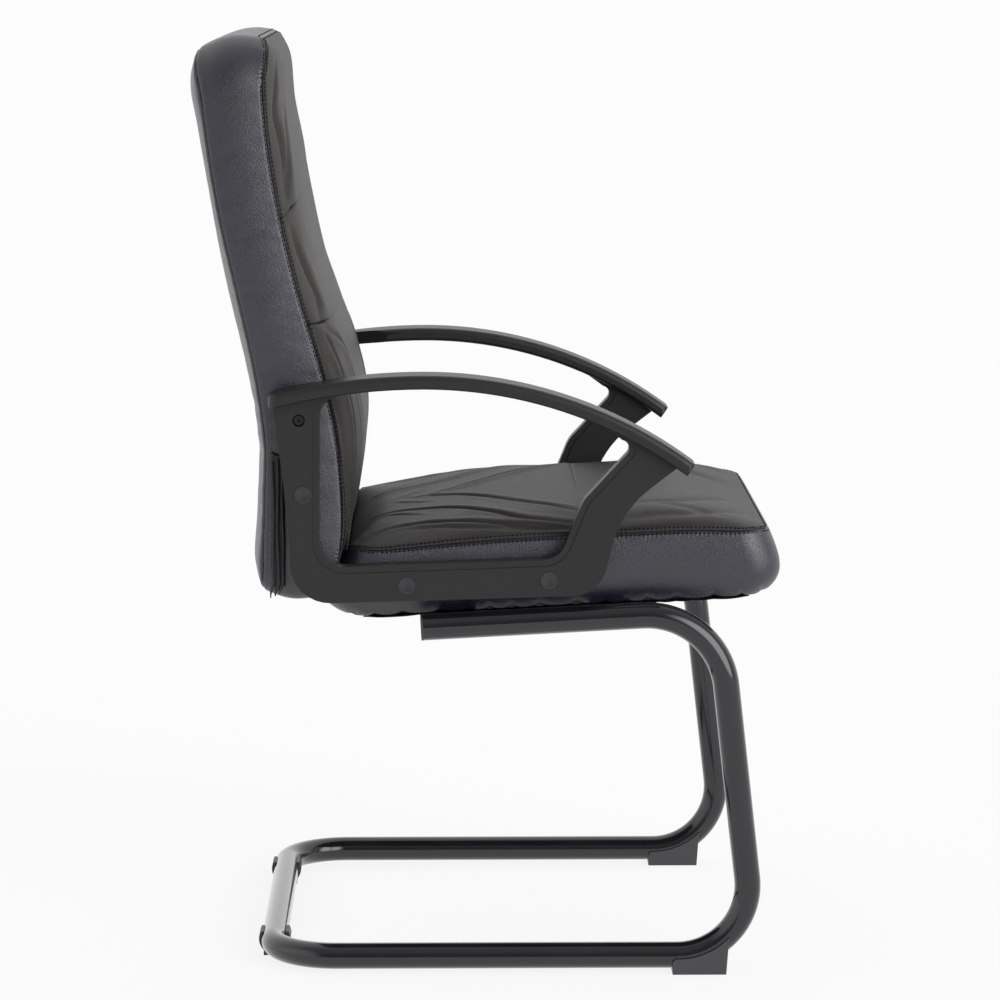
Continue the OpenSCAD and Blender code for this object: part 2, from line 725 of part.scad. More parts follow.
module seat_border() {
    color([0.17, 0.17, 0.2]) on_seat() difference() {
        loop_solid(
            [for (f = seat_levels) edge_loop(function (i, j) seat_edge(i, j, f), cols, seat_last)],
            cols, seat_last
        );
        plan_plate(board_w - 56, board_front + 28, board_rear - 18, board_corner - 8, 0, board_h);
        plan_plate(board_w + 2 * soft_gap, board_front - soft_gap, board_rear + soft_gap,
                   board_corner, board_h, board_top_h);
        plan_plate(2 * (foam_half + soft_gap), foam_front - soft_gap, foam_rear + soft_gap,
                   foam_corner, board_top_h, seat_seam_h + 1);
        both_sides() translate([foam_half - 5, batten_front - soft_gap, board_top_h - 0.01])
            cube([batten_x + soft_gap - foam_half + 5, batten_rear - batten_front + 2 * soft_gap,
                  batten_h + soft_gap]);
        both_sides() for (p = arm_seat_bolts)
            bar_x(bolt_d + 2, batten_x - 1, arm_inner_x + 1, to_seat(p));
    }
}

module seat_front_panel() {
    color([0.2, 0.19, 0.2]) on_seat()
        panel_solid(function (i, j) seat_top_point(i, j), cols, 0, seat_rows[0], seat_last, false);
}

module seat_rear_panel() {
    color([0.2, 0.19, 0.2]) on_seat()
        panel_solid(function (i, j) seat_top_point(i, j), cols, seat_rows[0], seat_last, seat_last,
                    false);
}

// Back form: f runs from 0 at the rear sewn edge to 1 at the front one
function back_low(f) = back_bottom + 8 * (1 - f) ^ 2 - 3 * sin(180 * f);
function back_high(f) = back_top - 3 - 10 * (1 - f) ^ 2 + 4 * sin(180 * f);
function back_h(f, v) = lerp(back_low(f), back_high(f), v);
function back_half(f, v) =
    back_w / 2 - back_swell * (1 - sin(180 * f)) - 9 * max(0, (v - 0.45) / 0.55) ^ 1.5;
function back_edge(i, j, f) =
    let (
        v = back_v[j],
        h = back_h(f, v),
        w = half_width(back_half(f, v), h - back_low(f), 25, back_high(f) - h, back_corner)
    )
    [w * (2 * i / cols - 1), lerp(curve(back_rear_edge, h), curve(back_front_edge, h), f), h];

// Front of the back cushion, with a dip along each seam
function back_front_point(i, j) =
    let (
        e = back_edge(i, j, 1),
        swell = side_swell(2 * i / cols - 1, 4) * end_swell(back_high(1) - e[2], 45)
            * end_swell(e[2] - back_low(1), 60),
        dip = j == back_rows[0] || j == back_high_row ? channel_depth : 0
    )
    e - [0, swell * (curve(back_depth, e[2]) - dip), 0];
function back_rear_point(i, j) =
    let (
        e = back_edge(i, j, 0),
        swell = side_swell(2 * i / cols - 1, 3) * end_swell(back_high(0) - e[2], 60)
            * end_swell(e[2] - back_low(0), 40)
    )
    e + [0, swell * curve(rear_depth, e[2]), 0];

// Sewn edges as the chains of straights that the rows of the form make of them
front_line = [for (v = back_v) [back_h(1, v), curve(back_front_edge, back_h(1, v))]];
rear_line = [for (v = back_v) [back_h(0, v), curve(back_rear_edge, back_h(0, v))]];
function heights(line, h0, h1) =
    concat([h0], [for (p = line) if (p[0] > h0 + 1 && p[0] < h1 - 1) p[0]], [h1]);
function follow(line, h0, h1, dy) = [for (h = heights(line, h0, h1)) [lookup(h, line) + dy, h]];

// Outline of the hidden parts of the back, seen from the front
module back_outline(half, half_top, low, high, r0, r1, grow) {
    rotate([90, 0, 0]) translate([0, 0, -far]) linear_extrude(2 * far) polygon(rounded([
        [-half - grow, low - grow, r0], [half + grow, low - grow, r0],
        [half_top + grow, high + grow, r1], [-half_top - grow, high + grow, r1]
    ]));
}

module back_board_form(grow) {
    intersection() {
        across(-far / 2, far / 2) polygon(concat(
            follow(rear_line, board_low - grow, board_high + grow, grow - soft_gap),
            reversed(follow(rear_line, board_low - grow, board_high + grow, board_front_dy - grow))
        ));
        back_outline(back_board_w / 2, back_board_w / 2 - 12, board_low, board_high, 20, 45, grow);
    }
}

module back_foam_form(grow) {
    intersection() {
        across(-far / 2, far / 2) polygon(concat(
            follow(rear_line, board_low - 2 - grow, board_high + 2 + grow, board_front_dy - grow),
            reversed(follow(front_line, board_low - 2 - grow, board_high + 2 + grow,
                            soft_gap - 2 * grow))
        ));
        back_outline(back_foam_half, back_foam_half - 13, board_low - 2, board_high + 2, 18, 42,
                     grow);
    }
}

module back_batten_form(grow) {
    both_sides() across(back_batten_x - back_batten_w - grow, back_batten_x + grow)
        polygon(concat(
            [[back_batten_y - grow, back_batten_high + grow],
             [back_batten_y - grow, back_batten_low - grow]],
            follow(rear_line, back_batten_low - grow, back_batten_high + grow, board_front_dy)
        ));
}

module back_bores(d, x0, x1) {
    both_sides() bar_x(d, x0, x1, arm_back_bolt);
}

module back_screw_forms(d, len) {
    both_sides() for (h = back_screw_h)
        translate([back_batten_x - back_batten_w + 11, lookup(h, rear_line) - soft_gap, h])
            rotate([90, 0, 0]) {
                cylinder(d = d, h = len);
                cylinder(d = d + batten_screw_d, h = 2.5);
            }
}

module back_board() {
    color([0.72, 0.56, 0.38]) above_seat_line() difference() {
        back_board_form(0);
        back_screw_forms(batten_screw_d + 2 * fit, back_board_t + back_screw_bite + 4);
    }
}

module back_battens() {
    color([0.78, 0.62, 0.42]) above_seat_line() difference() {
        back_batten_form(0);
        back_bores(insert_d + 2 * fit, back_batten_x - insert_len - 1, back_batten_x + 1);
        both_sides() bar_x(screw_d + 2 * fit, back_batten_x - 21, back_batten_x + 1,
                           arm_back_screw);
        back_screw_forms(batten_screw_d + 2 * fit, back_board_t + back_screw_bite + 4);
    }
}

module back_batten_screws() {
    color([0.7, 0.7, 0.68]) above_seat_line()
        back_screw_forms(batten_screw_d, back_board_t + back_screw_bite);
}

module back_foam() {
    color([0.86, 0.8, 0.6]) above_seat_line() difference() {
        back_foam_form(0);
        back_batten_form(soft_gap);
    }
}

module back_border() {
    color([0.17, 0.17, 0.2]) above_seat_line() difference() {
        loop_solid(
            [for (f = [0:0.25:1])
                edge_loop(function (i, j) back_edge(i, j, f), cols, back_last)],
            cols, back_last
        );
        back_board_form(soft_gap);
        back_foam_form(soft_gap);
        back_batten_form(soft_gap);
        back_bores(bolt_d + 2, back_batten_x - 1, arm_inner_x + 1);
        both_sides() bar_x(screw_d + 2, back_batten_x - 1, arm_inner_x + 1, arm_back_screw);
        both_sides() translate([zip_x - soft_gap, zip_y - soft_gap, zip_h - soft_gap])
            cube([20, zip_w + 2 * soft_gap, zip_len + 2 * soft_gap]);
    }
}

// Woven tapes that close the cover low down on both sides
module back_zip_tapes() {
    color([0.1, 0.1, 0.11]) above_seat_line() both_sides() {
        translate([zip_x, zip_y, zip_h]) cube([zip_t, zip_w, zip_len]);
        for (y = [2, 6.5, 11]) translate([zip_x + zip_t - 1, zip_y + y - 0.6, zip_h])
            cube([1.8, 1.2, zip_len]);
    }
}

module back_front_part(j0, j1) {
    above_seat_line()
        panel_solid(function (i, j) back_front_point(i, j), cols, j0, j1, back_last, false);
}

module back_lumbar_panel() { color([0.2, 0.19, 0.2]) back_front_part(0, back_rows[0]); }
module back_middle_panel() {
    color([0.2, 0.19, 0.2]) back_front_part(back_rows[0], back_high_row);
}
module back_head_panel() {
    color([0.2, 0.19, 0.2]) back_front_part(back_high_row, back_last);
}
module back_rear_panel() {
    color([0.17, 0.17, 0.2]) above_seat_line()
        panel_solid(function (i, j) back_rear_point(i, j), cols, 0, back_last, back_last, true);
}

// Arms

// Height of the pad at y, at a depth under its top
function pad_h(y, depth) = y < pad_peak_y
    ? pad_front_c[1] + sqrt((pad_front_r - depth) ^ 2 - (y - pad_peak_y) ^ 2)
    : pad_rear_c[1] + sqrt((pad_rear_r - depth) ^ 2 - (y - pad_peak_y) ^ 2);

// Outside of a loop, as [y, height, corner radius]
function loop_outside() = rounded([
    [-202, 172, 0], [-136.5, 122, 110], [-114, 32, 38], [150, 25, 0], [209, 23, 42],
    [211, 86, 0], [217, 155, 0], [226, 226, 0], [227, pad_h(227, 6), 0],
    [150, pad_h(150, 6), 0], [70, pad_h(70, 6), 0], [0, pad_h(0, 6), 0],
    [-70, pad_h(-70, 6), 0], [-130, pad_h(-130, 6), 0], [-170, pad_h(-170, 6), 0]
]);

// Opening of a loop, made larger all round by grow
function loop_opening(grow) = concat(
    corner_arc([120, pad_h(120, pad_t)], [-153, pad_h(-153, pad_t)], [-97, 132.5], 9, grow),
    corner_arc([-153, pad_h(-153, pad_t)], [-97, 132.5], [-71.5, 70], 40, grow),
    corner_arc([-97, 132.5], [-71.5, 70], [180, 61.5], 25, grow),
    corner_arc([-71.5, 70], [180, 61.5], [178.5, pad_h(178.5, pad_t)], 27, grow),
    corner_arc([180, 61.5], [178.5, pad_h(178.5, pad_t)], [140, pad_h(140, pad_t)], 26, grow),
    [for (y = [130:-20:-110]) [y, pad_h(y, pad_t - 2)]]
);

// Flat-bottomed pad with rounded edges, bent along two arcs that meet at its highest point
module pad_section(r) {
    translate([r, 0]) polygon(rounded([
        [-pad_t, pad_inner_x, 4], [0, pad_inner_x, 6], [0, pad_outer_x, 6],
        [-pad_t, pad_outer_x, 4]
    ]));
}

module pad_arc(c, r, from, sweep) {
    translate([0, c[0], c[1]]) rotate([90, 0, 90]) rotate([0, 0, from])
        rotate_extrude(angle = sweep, $fn = 180) pad_section(r);
}

module arm_pad() {
    intersection() {
        union() {
            pad_arc(pad_front_c, pad_front_r, 90, pad_front_sweep);
            pad_arc(pad_rear_c, pad_rear_r, 70, 20);
        }
        linear_extrude(far) polygon(rounded([
            [pad_inner_x - 1, pad_front_y - 2, 14], [pad_outer_x + 1, pad_front_y - 2, 14],
            [pad_outer_x + 1, pad_rear_y, 16], [arm_inner_x, pad_rear_y, 4],
            [arm_inner_x, 150, 20], [pad_inner_x - 1, 112, 20]
        ]));
    }
}

module arm() {
    above_seat_line() difference() {
        union() {
            across(arm_inner_x + rim_step, arm_outer_x - rim_step)
                difference() {
                    polygon(loop_outside());
                    polygon(loop_opening(0));
                }
            for (x = [arm_inner_x, arm_outer_x - rim_step]) across(x, x + rim_step)
                difference() {
                    polygon(loop_outside());
                    polygon(loop_opening(rim_w));
                }
            arm_pad();
        }
        for (p = arm_bolts_yz) {
            bar_x(bolt_d + 2 * fit, 0, far, p);
            bar_x(cap_d + 2 * fit, bolt_seat_x, far, p);
        }
        bar_x(screw_d + 2 * fit, 0, far, arm_back_screw);
        bar_x(screw_recess_d, screw_seat_x, far, arm_back_screw);
    }
}

module arm_right() { color([0.16, 0.16, 0.17]) right_or_left("right") arm(); }
module arm_left() { color([0.16, 0.16, 0.17]) right_or_left("left") arm(); }

// Threaded inserts in the battens
module insert(x, yz) {
    difference() {
        bar_x(insert_d, x - insert_len, x, yz);
        bar_x(bolt_d, x - insert_len - 1, x + 1, yz);
    }
}

module arm_inserts() {
    color([0.78, 0.68, 0.4]) above_seat_line() both_sides() {
        for (p = arm_seat_bolts) insert(batten_x, p);
        insert(back_batten_x, arm_back_bolt);
    }
}

module socket_bolt(d, head_d, head_h, key, x, x_end, yz) {
    difference() {
        union() {
            bar_x(head_d, x, x + head_h, yz);
            bar_x(d, x_end, x + head_h / 2, yz);
        }
        translate([x + head_h / 2, yz[0], yz[1]]) rotate([0, 90, 0])
            cylinder(d = key, h = head_h, $fn = 6);
    }
}

module arm_bolts() {
    color([0.2, 0.2, 0.21]) above_seat_line() both_sides() for (p = arm_bolts_yz)
        socket_bolt(bolt_d - fit, bolt_head_d, bolt_head_h, 5.5, bolt_seat_x + washer_t,
                    batten_x - insert_len + 3, p);
}

module arm_bolt_washers() {
    color([0.6, 0.6, 0.6]) above_seat_line() both_sides() for (p = arm_bolts_yz) difference() {
        bar_x(washer_d, bolt_seat_x, bolt_seat_x + washer_t, p);
        bar_x(bolt_d + 2 * fit, bolt_seat_x - 1, arm_outer_x, p);
    }
}

// Press-in caps, slightly proud of the arm and dished
module arm_bolt_caps() {
    color([0.12, 0.12, 0.13]) above_seat_line() both_sides() for (p = arm_bolts_yz) difference() {
        bar_x(cap_d, arm_outer_x + cap_proud - cap_len, arm_outer_x + cap_proud, p);
        translate([arm_outer_x + cap_proud + 39.4, p[0], p[1]]) sphere(r = 40, $fn = 96);
    }
}

module arm_top_screws() {
    color([0.2, 0.2, 0.21]) above_seat_line() both_sides()
        socket_bolt(screw_d, 10, 6, 5, screw_seat_x, back_batten_x - 19, arm_back_screw);
}

side_tube_right();
side_tube_left();
rear_cross_tube();
front_seat_plate();
rear_seat_plate();
tube_end_plugs();
front_glide_right();
front_glide_left();
rear_glide_right();
rear_glide_left();
seat_board();
seat_battens();
seat_batten_screws();
seat_t_nuts();
seat_bolts();
seat_bolt_washers();
seat_foam();
seat_border();
seat_front_panel();
seat_rear_panel();
seat_dust_cover();
arm_right();
arm_left();
arm_inserts();
arm_bolts();
arm_bolt_washers();
arm_bolt_caps();
arm_top_screws();
back_board();
back_battens();
back_batten_screws();
back_foam();
back_border();
back_lumbar_panel();
back_middle_panel();
back_head_panel();
back_rear_panel();
back_zip_tapes();
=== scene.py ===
# Visitor chair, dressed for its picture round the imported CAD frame.
# Everything is in metres in the CAD's own frame: the sitter faces -Y, X runs across, Z is up.
import math
from functools import partial

import bmesh
import bpy
import numpy as np
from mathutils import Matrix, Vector
from mathutils.bvhtree import BVHTree
from mathutils.kdtree import KDTree


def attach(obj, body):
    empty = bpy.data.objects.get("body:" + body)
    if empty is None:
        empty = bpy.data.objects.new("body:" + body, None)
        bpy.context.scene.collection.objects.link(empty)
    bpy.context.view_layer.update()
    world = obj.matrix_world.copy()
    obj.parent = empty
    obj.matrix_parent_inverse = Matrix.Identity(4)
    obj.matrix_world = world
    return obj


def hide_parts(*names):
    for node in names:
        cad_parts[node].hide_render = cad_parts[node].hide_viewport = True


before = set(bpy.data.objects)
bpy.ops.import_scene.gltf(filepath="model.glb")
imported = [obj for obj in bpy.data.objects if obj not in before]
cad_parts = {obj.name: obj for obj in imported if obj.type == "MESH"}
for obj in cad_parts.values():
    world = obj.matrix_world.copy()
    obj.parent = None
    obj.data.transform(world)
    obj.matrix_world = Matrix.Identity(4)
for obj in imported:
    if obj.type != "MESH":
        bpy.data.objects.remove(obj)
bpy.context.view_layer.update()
MM = 0.001


# Steel frame.
# Bent steel tube with plates welded across it, all under one coat of gloss black lacquer.
# The lacquer has a slight orange peel, and it thins to a duller coat in broad patches.


def finish(name, colour, roughness, **constants):
    """A new material: its node tree and its shader, with the constants set on the shader."""
    material = bpy.data.materials.new(name)
    material.use_nodes = True
    tree = material.node_tree
    shader = tree.nodes["Principled BSDF"]
    shader.inputs["Base Color"].default_value = (*colour, 1)
    shader.inputs["Roughness"].default_value = roughness
    for socket, value in constants.items():
        shader.inputs[socket.replace("_", " ")].default_value = value
    return material, tree, shader


def add(tree, kind, *, out=0, **settings):
    """A node of that kind, and its output socket. Settings are properties, values or sockets."""
    n = tree.nodes.new("ShaderNode" + kind)
    for key, value in settings.items():
        if key[0] == "_":
            slot = n.inputs[int(key[1:])]
        elif hasattr(n, key):
            setattr(n, key, value)
            continue
        else:
            slot = n.inputs[key.replace("_", " ")]
        if isinstance(value, bpy.types.NodeSocket):
            tree.links.new(value, slot)
        else:
            slot.default_value = value
    return n.outputs[out]


def place(tree):
    return add(tree, "TexCoord", out=3)


def mixed(tree, factor, low, high):
    """Colour between low and high."""
    return add(tree, "Mix", out=2, data_type="RGBA", _0=factor, _6=(*low, 1), _7=(*high, 1))


def ranged(tree, value, low, high, start=0.0, end=1.0, kind="LINEAR"):
    """Goes from low to high while the value goes from start to end."""
    return add(tree, "MapRange", Value=value, From_Min=start, From_Max=end,
               To_Min=low, To_Max=high, interpolation_type=kind)


def worked(tree, operation, one, other):
    return add(tree, "Math", operation=operation, _0=one, _1=other)


def bumped(tree, shader, *layers):
    """Bump layers of (height, distance in metres, strength), the coarsest first."""
    below = {}
    for height, distance, strength in layers:
        normal = add(tree, "Bump", Height=height, Distance=distance, Strength=strength, **below)
        below = {"Normal": normal}
    tree.links.new(normal, shader.inputs["Normal"])


def painted(mesh, material):
    mesh.materials.clear()
    mesh.materials.append(material)


def dress(material, *names):
    """Gives CAD nodes the material."""
    for name in names:
        painted(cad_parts[name].data, material)


def lacquer_finish():
    material, tree, shader = finish("black_lacquer", (0.012, 0.012, 0.014), 0.2,
                                    Specular_IOR_Level=0.15, Coat_Weight=1.0,
                                    Coat_Roughness=0.09)
    peel = add(tree, "TexNoise", Vector=place(tree), Scale=420.0, Detail=2.0)
    patches = add(tree, "TexNoise", Vector=place(tree), Scale=14.0, Detail=4.0)
    tree.links.new(ranged(tree, patches, 0.12, 0.2, 0.3, 0.7), shader.inputs["Roughness"])
    tree.links.new(mixed(tree, patches, (0.006, 0.006, 0.008), (0.011, 0.011, 0.014)),
                   shader.inputs["Base Color"])
    bumped(tree, shader, (peel, 0.0002, 0.08))
    return material


dress(lacquer_finish(), "side_tube_right", "side_tube_left", "rear_cross_tube",
      "front_seat_plate", "rear_seat_plate")


# Glides and plugs.
# Moulded polypropylene: wedges pushed in under the foot bends, saddles snapped on the rear
# tube and round plugs in the open tube ends. Satin, with a fine spark-eroded texture.


def moulded_finish(name, dark, light, roughness, grain, depth, shine=0.5):
    material, tree, shader = finish(name, dark, roughness, Specular_IOR_Level=shine)
    texture = add(tree, "TexNoise", Vector=place(tree), Scale=grain, Detail=3.0, Roughness=0.6)
    cloud = add(tree, "TexNoise", Vector=place(tree), Scale=9.0, Detail=3.0)
    tree.links.new(mixed(tree, cloud, dark, light), shader.inputs["Base Color"])
    tree.links.new(ranged(tree, texture, roughness - 0.06, roughness + 0.08, 0.3, 0.7),
                   shader.inputs["Roughness"])
    bumped(tree, shader, (texture, depth, 0.5))
    return material


dress(moulded_finish("glide_plastic", (0.035, 0.035, 0.038), (0.05, 0.05, 0.053), 0.42,
                     1500.0, 0.0001),
      "front_glide_right", "front_glide_left", "rear_glide_right", "rear_glide_left",
      "tube_end_plugs")


# Boards, battens, fixings.
# Inside the cushions: plywood boards, softwood battens screwed to them, and steel and brass
# fixings. They show only if the covers come off, so their finishes are simple but real.


def wood_finish(name, dark, light, along):
    """Grain lines that run along one axis."""
    material, tree, shader = finish(name, dark, 0.6)
    stretch = [90.0, 90.0, 90.0]
    stretch["XYZ".index(along)] = 5.0
    grain_place = add(tree, "Mapping", Vector=place(tree), Scale=stretch)
    grain = add(tree, "TexNoise", Vector=grain_place, Scale=1.0, Detail=6.0, Roughness=0.65)
    tree.links.new(mixed(tree, ranged(tree, grain, 0, 1, 0.35, 0.65), dark, light),
                   shader.inputs["Base Color"])
    bumped(tree, shader, (grain, 0.0004, 0.3))
    return material


def metal_finish(name, colour, roughness):
    material, tree, shader = finish(name, colour, roughness, Metallic=1.0)
    scuff = add(tree, "TexNoise", Vector=place(tree), Scale=350.0, Detail=5.0)
    tree.links.new(ranged(tree, scuff, roughness - 0.08, roughness + 0.15, 0.3, 0.7),
                   shader.inputs["Roughness"])
    bumped(tree, shader, (scuff, 0.0001, 0.2))
    return material


dress(wood_finish("plywood", (0.42, 0.29, 0.16), (0.6, 0.45, 0.28), "X"),
      "seat_board", "back_board")
dress(wood_finish("batten_wood", (0.5, 0.36, 0.2), (0.68, 0.52, 0.33), "Y"),
      "seat_battens", "back_battens")
dress(metal_finish("plain_steel", (0.55, 0.55, 0.54), 0.35), "seat_batten_screws",
      "back_batten_screws", "seat_t_nuts", "seat_bolt_washers", "arm_bolt_washers")
dress(metal_finish("black_steel", (0.035, 0.035, 0.037), 0.42), "seat_bolts", "arm_bolts",
      "arm_top_screws")
dress(metal_finish("insert_brass", (0.7, 0.55, 0.27), 0.3), "arm_inserts")


# Seat cushion.
# Foam on the board, covered in leather: a border with a low sheen and a pebbled grain, and a
# softer top in two panels sewn to it. The rear panel has pleats that fan out from the ends
# of the seam across the seat.

SEAT_LINE_Z = 376 * MM
ORIGIN_Y = -4.9 * MM
SEAT_TILT = math.radians(3)


def lerp(a, b, t):
    return a + (b - a) * t


def smooth(t):
    t = np.clip(t, 0, 1)
    return t * t * (3 - 2 * t)


def on_seat(p):
    """Points given as x, place along the seat line and height above it, in mm."""
    x, s, h = p[..., 0], p[..., 1], p[..., 2]
    c, d = math.cos(SEAT_TILT), math.sin(SEAT_TILT)
    return np.stack([x * MM, ORIGIN_Y + (s * c + h * d) * MM,
                     SEAT_LINE_Z + (h * c - s * d) * MM], -1)


def rounded_plan(a, b, half, low, high, r_low, r_high):
    """The square of a and b from -1 to 1, laid over a rectangle with rounded corners."""
    x, y = a * half, lerp(low, high, (b + 1) / 2)
    for r, edge, side in ((r_low, low, -1), (r_high, high, 1)):
        p = np.clip((np.abs(x) - half + r) / r, 0, 1)
        q = np.clip(1 - side * (edge - y) / r, 0, 1)
        inside = (p > 0) & (q > 0)
        px, qy = p * np.sqrt(1 - q * q / 2), q * np.sqrt(1 - p * p / 2)
        x = np.where(inside, np.sign(a) * (half - r + r * px), x)
        y = np.where(inside, edge - side * r * (1 - qy), y)
    return x, y


def rows_between(*stops):
    """Values through the stops given as (value, how many steps lead to it)."""
    out = [stops[0][0]]
    for (v0, _), (v1, n) in zip(stops, stops[1:]):
        out += [lerp(v0, v1, (i + 1) / n) for i in range(n)]
    return np.array(out)


BORDER, BACK_FACE = 10, 11
CLOTH_FRAMES = 20


def in_scene(name, data):
    """An object that shows the data."""
    piece = bpy.data.objects.new(name, data)
    bpy.context.scene.collection.objects.link(piece)
    return piece


def ring_of(cols, rows):
    """Column and row numbers round the edge of a grid."""
    return ([(i, 0) for i in range(cols)] + [(cols, j) for j in range(rows)]
            + [(i, rows) for i in range(cols, 0, -1)] + [(0, j) for j in range(rows, 0, -1)])


def cushion_mesh(name, face, edge, back, cols, rows, levels, panel_of_row):
    """A closed cushion: a face grid and a back grid joined by rings of the border.

    face and back give points for grids of columns and rows, edge gives the ring at a level
    from 1 at the face to 0 at the back. Each polygon gets the number of its panel."""
    ring = ring_of(cols, rows)
    count = len(ring)
    grid_i, grid_j = np.meshgrid(np.arange(cols + 1), np.arange(rows + 1), indexing="xy")
    top = face(grid_i.ravel(), grid_j.ravel())
    bottom = back(grid_i.ravel(), grid_j.ravel())
    ring_i, ring_j = np.array(ring).T
    verts = [top, bottom] + [edge(ring_i, ring_j, f) for f in levels]
    base = np.cumsum([0] + [len(v) for v in verts])
    faces, panels = [], []

    def at(i, j):
        return j * (cols + 1) + i

    for j in range(rows):
        for i in range(cols):
            faces.append((at(i, j), at(i + 1, j), at(i + 1, j + 1), at(i, j + 1)))
            panels.append(panel_of_row(j))
            faces.append(tuple(base[1] + k for k in (
                at(i, j), at(i, j + 1), at(i + 1, j + 1), at(i + 1, j))))
            panels.append(BACK_FACE)
    loops = [[at(i, j) for i, j in ring]]
    loops += [[base[k + 2] + n for n in range(count)] for k in range(len(levels))]
    loops += [[base[1] + at(i, j) for i, j in ring]]
    for upper, lower in zip(loops, loops[1:]):
        for n in range(count):
            m = (n + 1) % count
            faces.append((upper[n], lower[n], lower[m], upper[m]))
            panels.append(BORDER)
    mesh = bpy.data.meshes.new(name)
    mesh.from_pydata(np.concatenate(verts).tolist(), [], faces)
    mesh.attributes.new("panel", "INT", "FACE").data.foreach_set("value", panels)
    return in_scene(name, mesh)


def points_of(mesh):
    co = np.empty(len(mesh.vertices) * 3)
    mesh.vertices.foreach_get("co", co)
    return co.reshape(-1, 3)


def normals_of(mesh):
    co = np.empty(len(mesh.vertices) * 3)
    mesh.vertices.foreach_get("normal", co)
    return co.reshape(-1, 3)


def put_points(mesh, co):
    mesh.vertices.foreach_set("co", co.ravel())
    mesh.update()


def panels_of(mesh):
    value = np.empty(len(mesh.polygons), int)
    mesh.attributes["panel"].data.foreach_get("value", value)
    return value


def vertices_on(piece, *numbers):
    """Whether each vertex lies on one of those panels."""
    panel = panels_of(piece.data)
    on = np.zeros(len(piece.data.vertices), bool)
    for poly in piece.data.polygons:
        if panel[poly.index] in numbers:
            on[list(poly.vertices)] = True
    return on


def stuffed(piece, held, cap, loosen):
    """Swells the piece by a cloth simulation and keeps the part of the movement below cap.

    held are the vertices that the thread or the staples hold, loosen how much wider than
    its shape the leather is cut."""
    mesh = piece.data
    start = points_of(mesh)
    group = piece.vertex_groups.new(name="sewn")
    group.add([int(v) for v in held], 1.0, "REPLACE")
    cloth = piece.modifiers.new("stuffing", "CLOTH")
    leather = cloth.settings
    leather.quality, leather.mass = 5, 0.3
    leather.tension_stiffness = leather.compression_stiffness = 20
    leather.bending_stiffness = 1.0
    leather.use_pressure, leather.uniform_pressure_force = True, 4.0
    leather.vertex_group_mass = "sewn"
    leather.shrink_min = -loosen
    leather.effector_weights.gravity = 0
    cloth.collision_settings.use_collision = False
    cloth.point_cache.frame_start, cloth.point_cache.frame_end = 1, CLOTH_FRAMES
    for number in range(1, CLOTH_FRAMES + 1):
        bpy.context.scene.frame_set(number)
    dg = bpy.context.evaluated_depsgraph_get()
    moved = points_of(piece.evaluated_get(dg).data) - start
    bpy.context.scene.frame_set(1)
    piece.modifiers.remove(cloth)
    piece.vertex_groups.clear()
    length = np.linalg.norm(moved, axis=1, keepdims=True)
    put_points(mesh, start + moved / np.maximum(length, 1e-9) * cap * np.tanh(length / cap))


def subdivided(piece, levels=1):
    finer = piece.modifiers.new("finer", "SUBSURF")
    finer.levels = finer.render_levels = levels
    flatten(piece)


def flatten(piece):
    """Applies the piece's modifiers."""
    dg = bpy.context.evaluated_depsgraph_get()
    mesh = bpy.data.meshes.new_from_object(piece.evaluated_get(dg))
    piece.modifiers.clear()
    old, piece.data = piece.data, mesh
    bpy.data.meshes.remove(old)
    mesh.shade_smooth()


SEAT_COLS, SEAT_FRONT_ROWS = 88, 36
SEAT_FRONT, SEAT_CROSS, SEAT_REAR = -300, -103, 149
SEAT_ROWS = rows_between((SEAT_FRONT, 0), (SEAT_CROSS, SEAT_FRONT_ROWS), (SEAT_REAR, 45))
SEAT_SEAM_H, SEAT_HELD_H, SEAT_HEM_H = 81.0, 33.0, 10.8
SEAT_LEVELS = (0.93, 0.84, 0.73, 0.61, 0.49, 0.37, 0.26, 0.16, 0.08, 0.03)
SEAT_CROWN = 25


def seat_outline(a, b, f):
    """A point of the seat's plan at a level of its border, with the level's height."""
    v = (b + 1) / 2
    bulge = max(math.sin(math.pi * f ** 0.65), 0)
    low = SEAT_FRONT + 8 * (1 - f) ** 2 - 14 * bulge ** 1.2
    high = SEAT_REAR + (1 - f) + 26 * bulge ** 1.3
    half = 245 - 3 * f ** 3 - 12 * (1 - f) ** 4 - 2 * (1 - (2 * v - 1) ** 2)
    x, s = rounded_plan(a, b, half, low, high, 36, 36)
    return x, s, lerp(SEAT_HEM_H, SEAT_SEAM_H, f)


def seat_ab(i, j):
    return 2 * i / SEAT_COLS - 1, 2 * (SEAT_ROWS[j] - SEAT_FRONT) / (SEAT_REAR - SEAT_FRONT) - 1


def end_swell(d, reach):
    return np.sqrt(np.clip(1 - np.clip(1 - d / reach, 0, 1) ** 2, 0, 1))


def seat_face(i, j):
    x, s, h = seat_outline(*seat_ab(i, j), 1.0)
    side = np.sqrt(np.clip(1 - np.abs(x / 242) ** 9, 0, 1))
    front = np.sin(np.pi / 2 * np.clip((s - SEAT_FRONT) / 110, 0, 1))
    crown = SEAT_CROWN - 13 * smooth((s + 20) / 164)
    swell = crown * side * front * end_swell(SEAT_REAR - s, 30)
    return on_seat(np.stack([x, s, h + swell], -1))


def seat_edge(i, j, f):
    x, s, h = seat_outline(*seat_ab(i, j), f)
    return on_seat(np.stack([x, s, np.full_like(x, h)], -1))


def in_seat(co):
    """Place across and along the seat line, and height above it, in mm."""
    y, z = (co[:, 1] - ORIGIN_Y) / MM, (co[:, 2] - SEAT_LINE_Z) / MM
    c, d = math.cos(SEAT_TILT), math.sin(SEAT_TILT)
    return co[:, 0] / MM, y * c - z * d, y * d + z * c


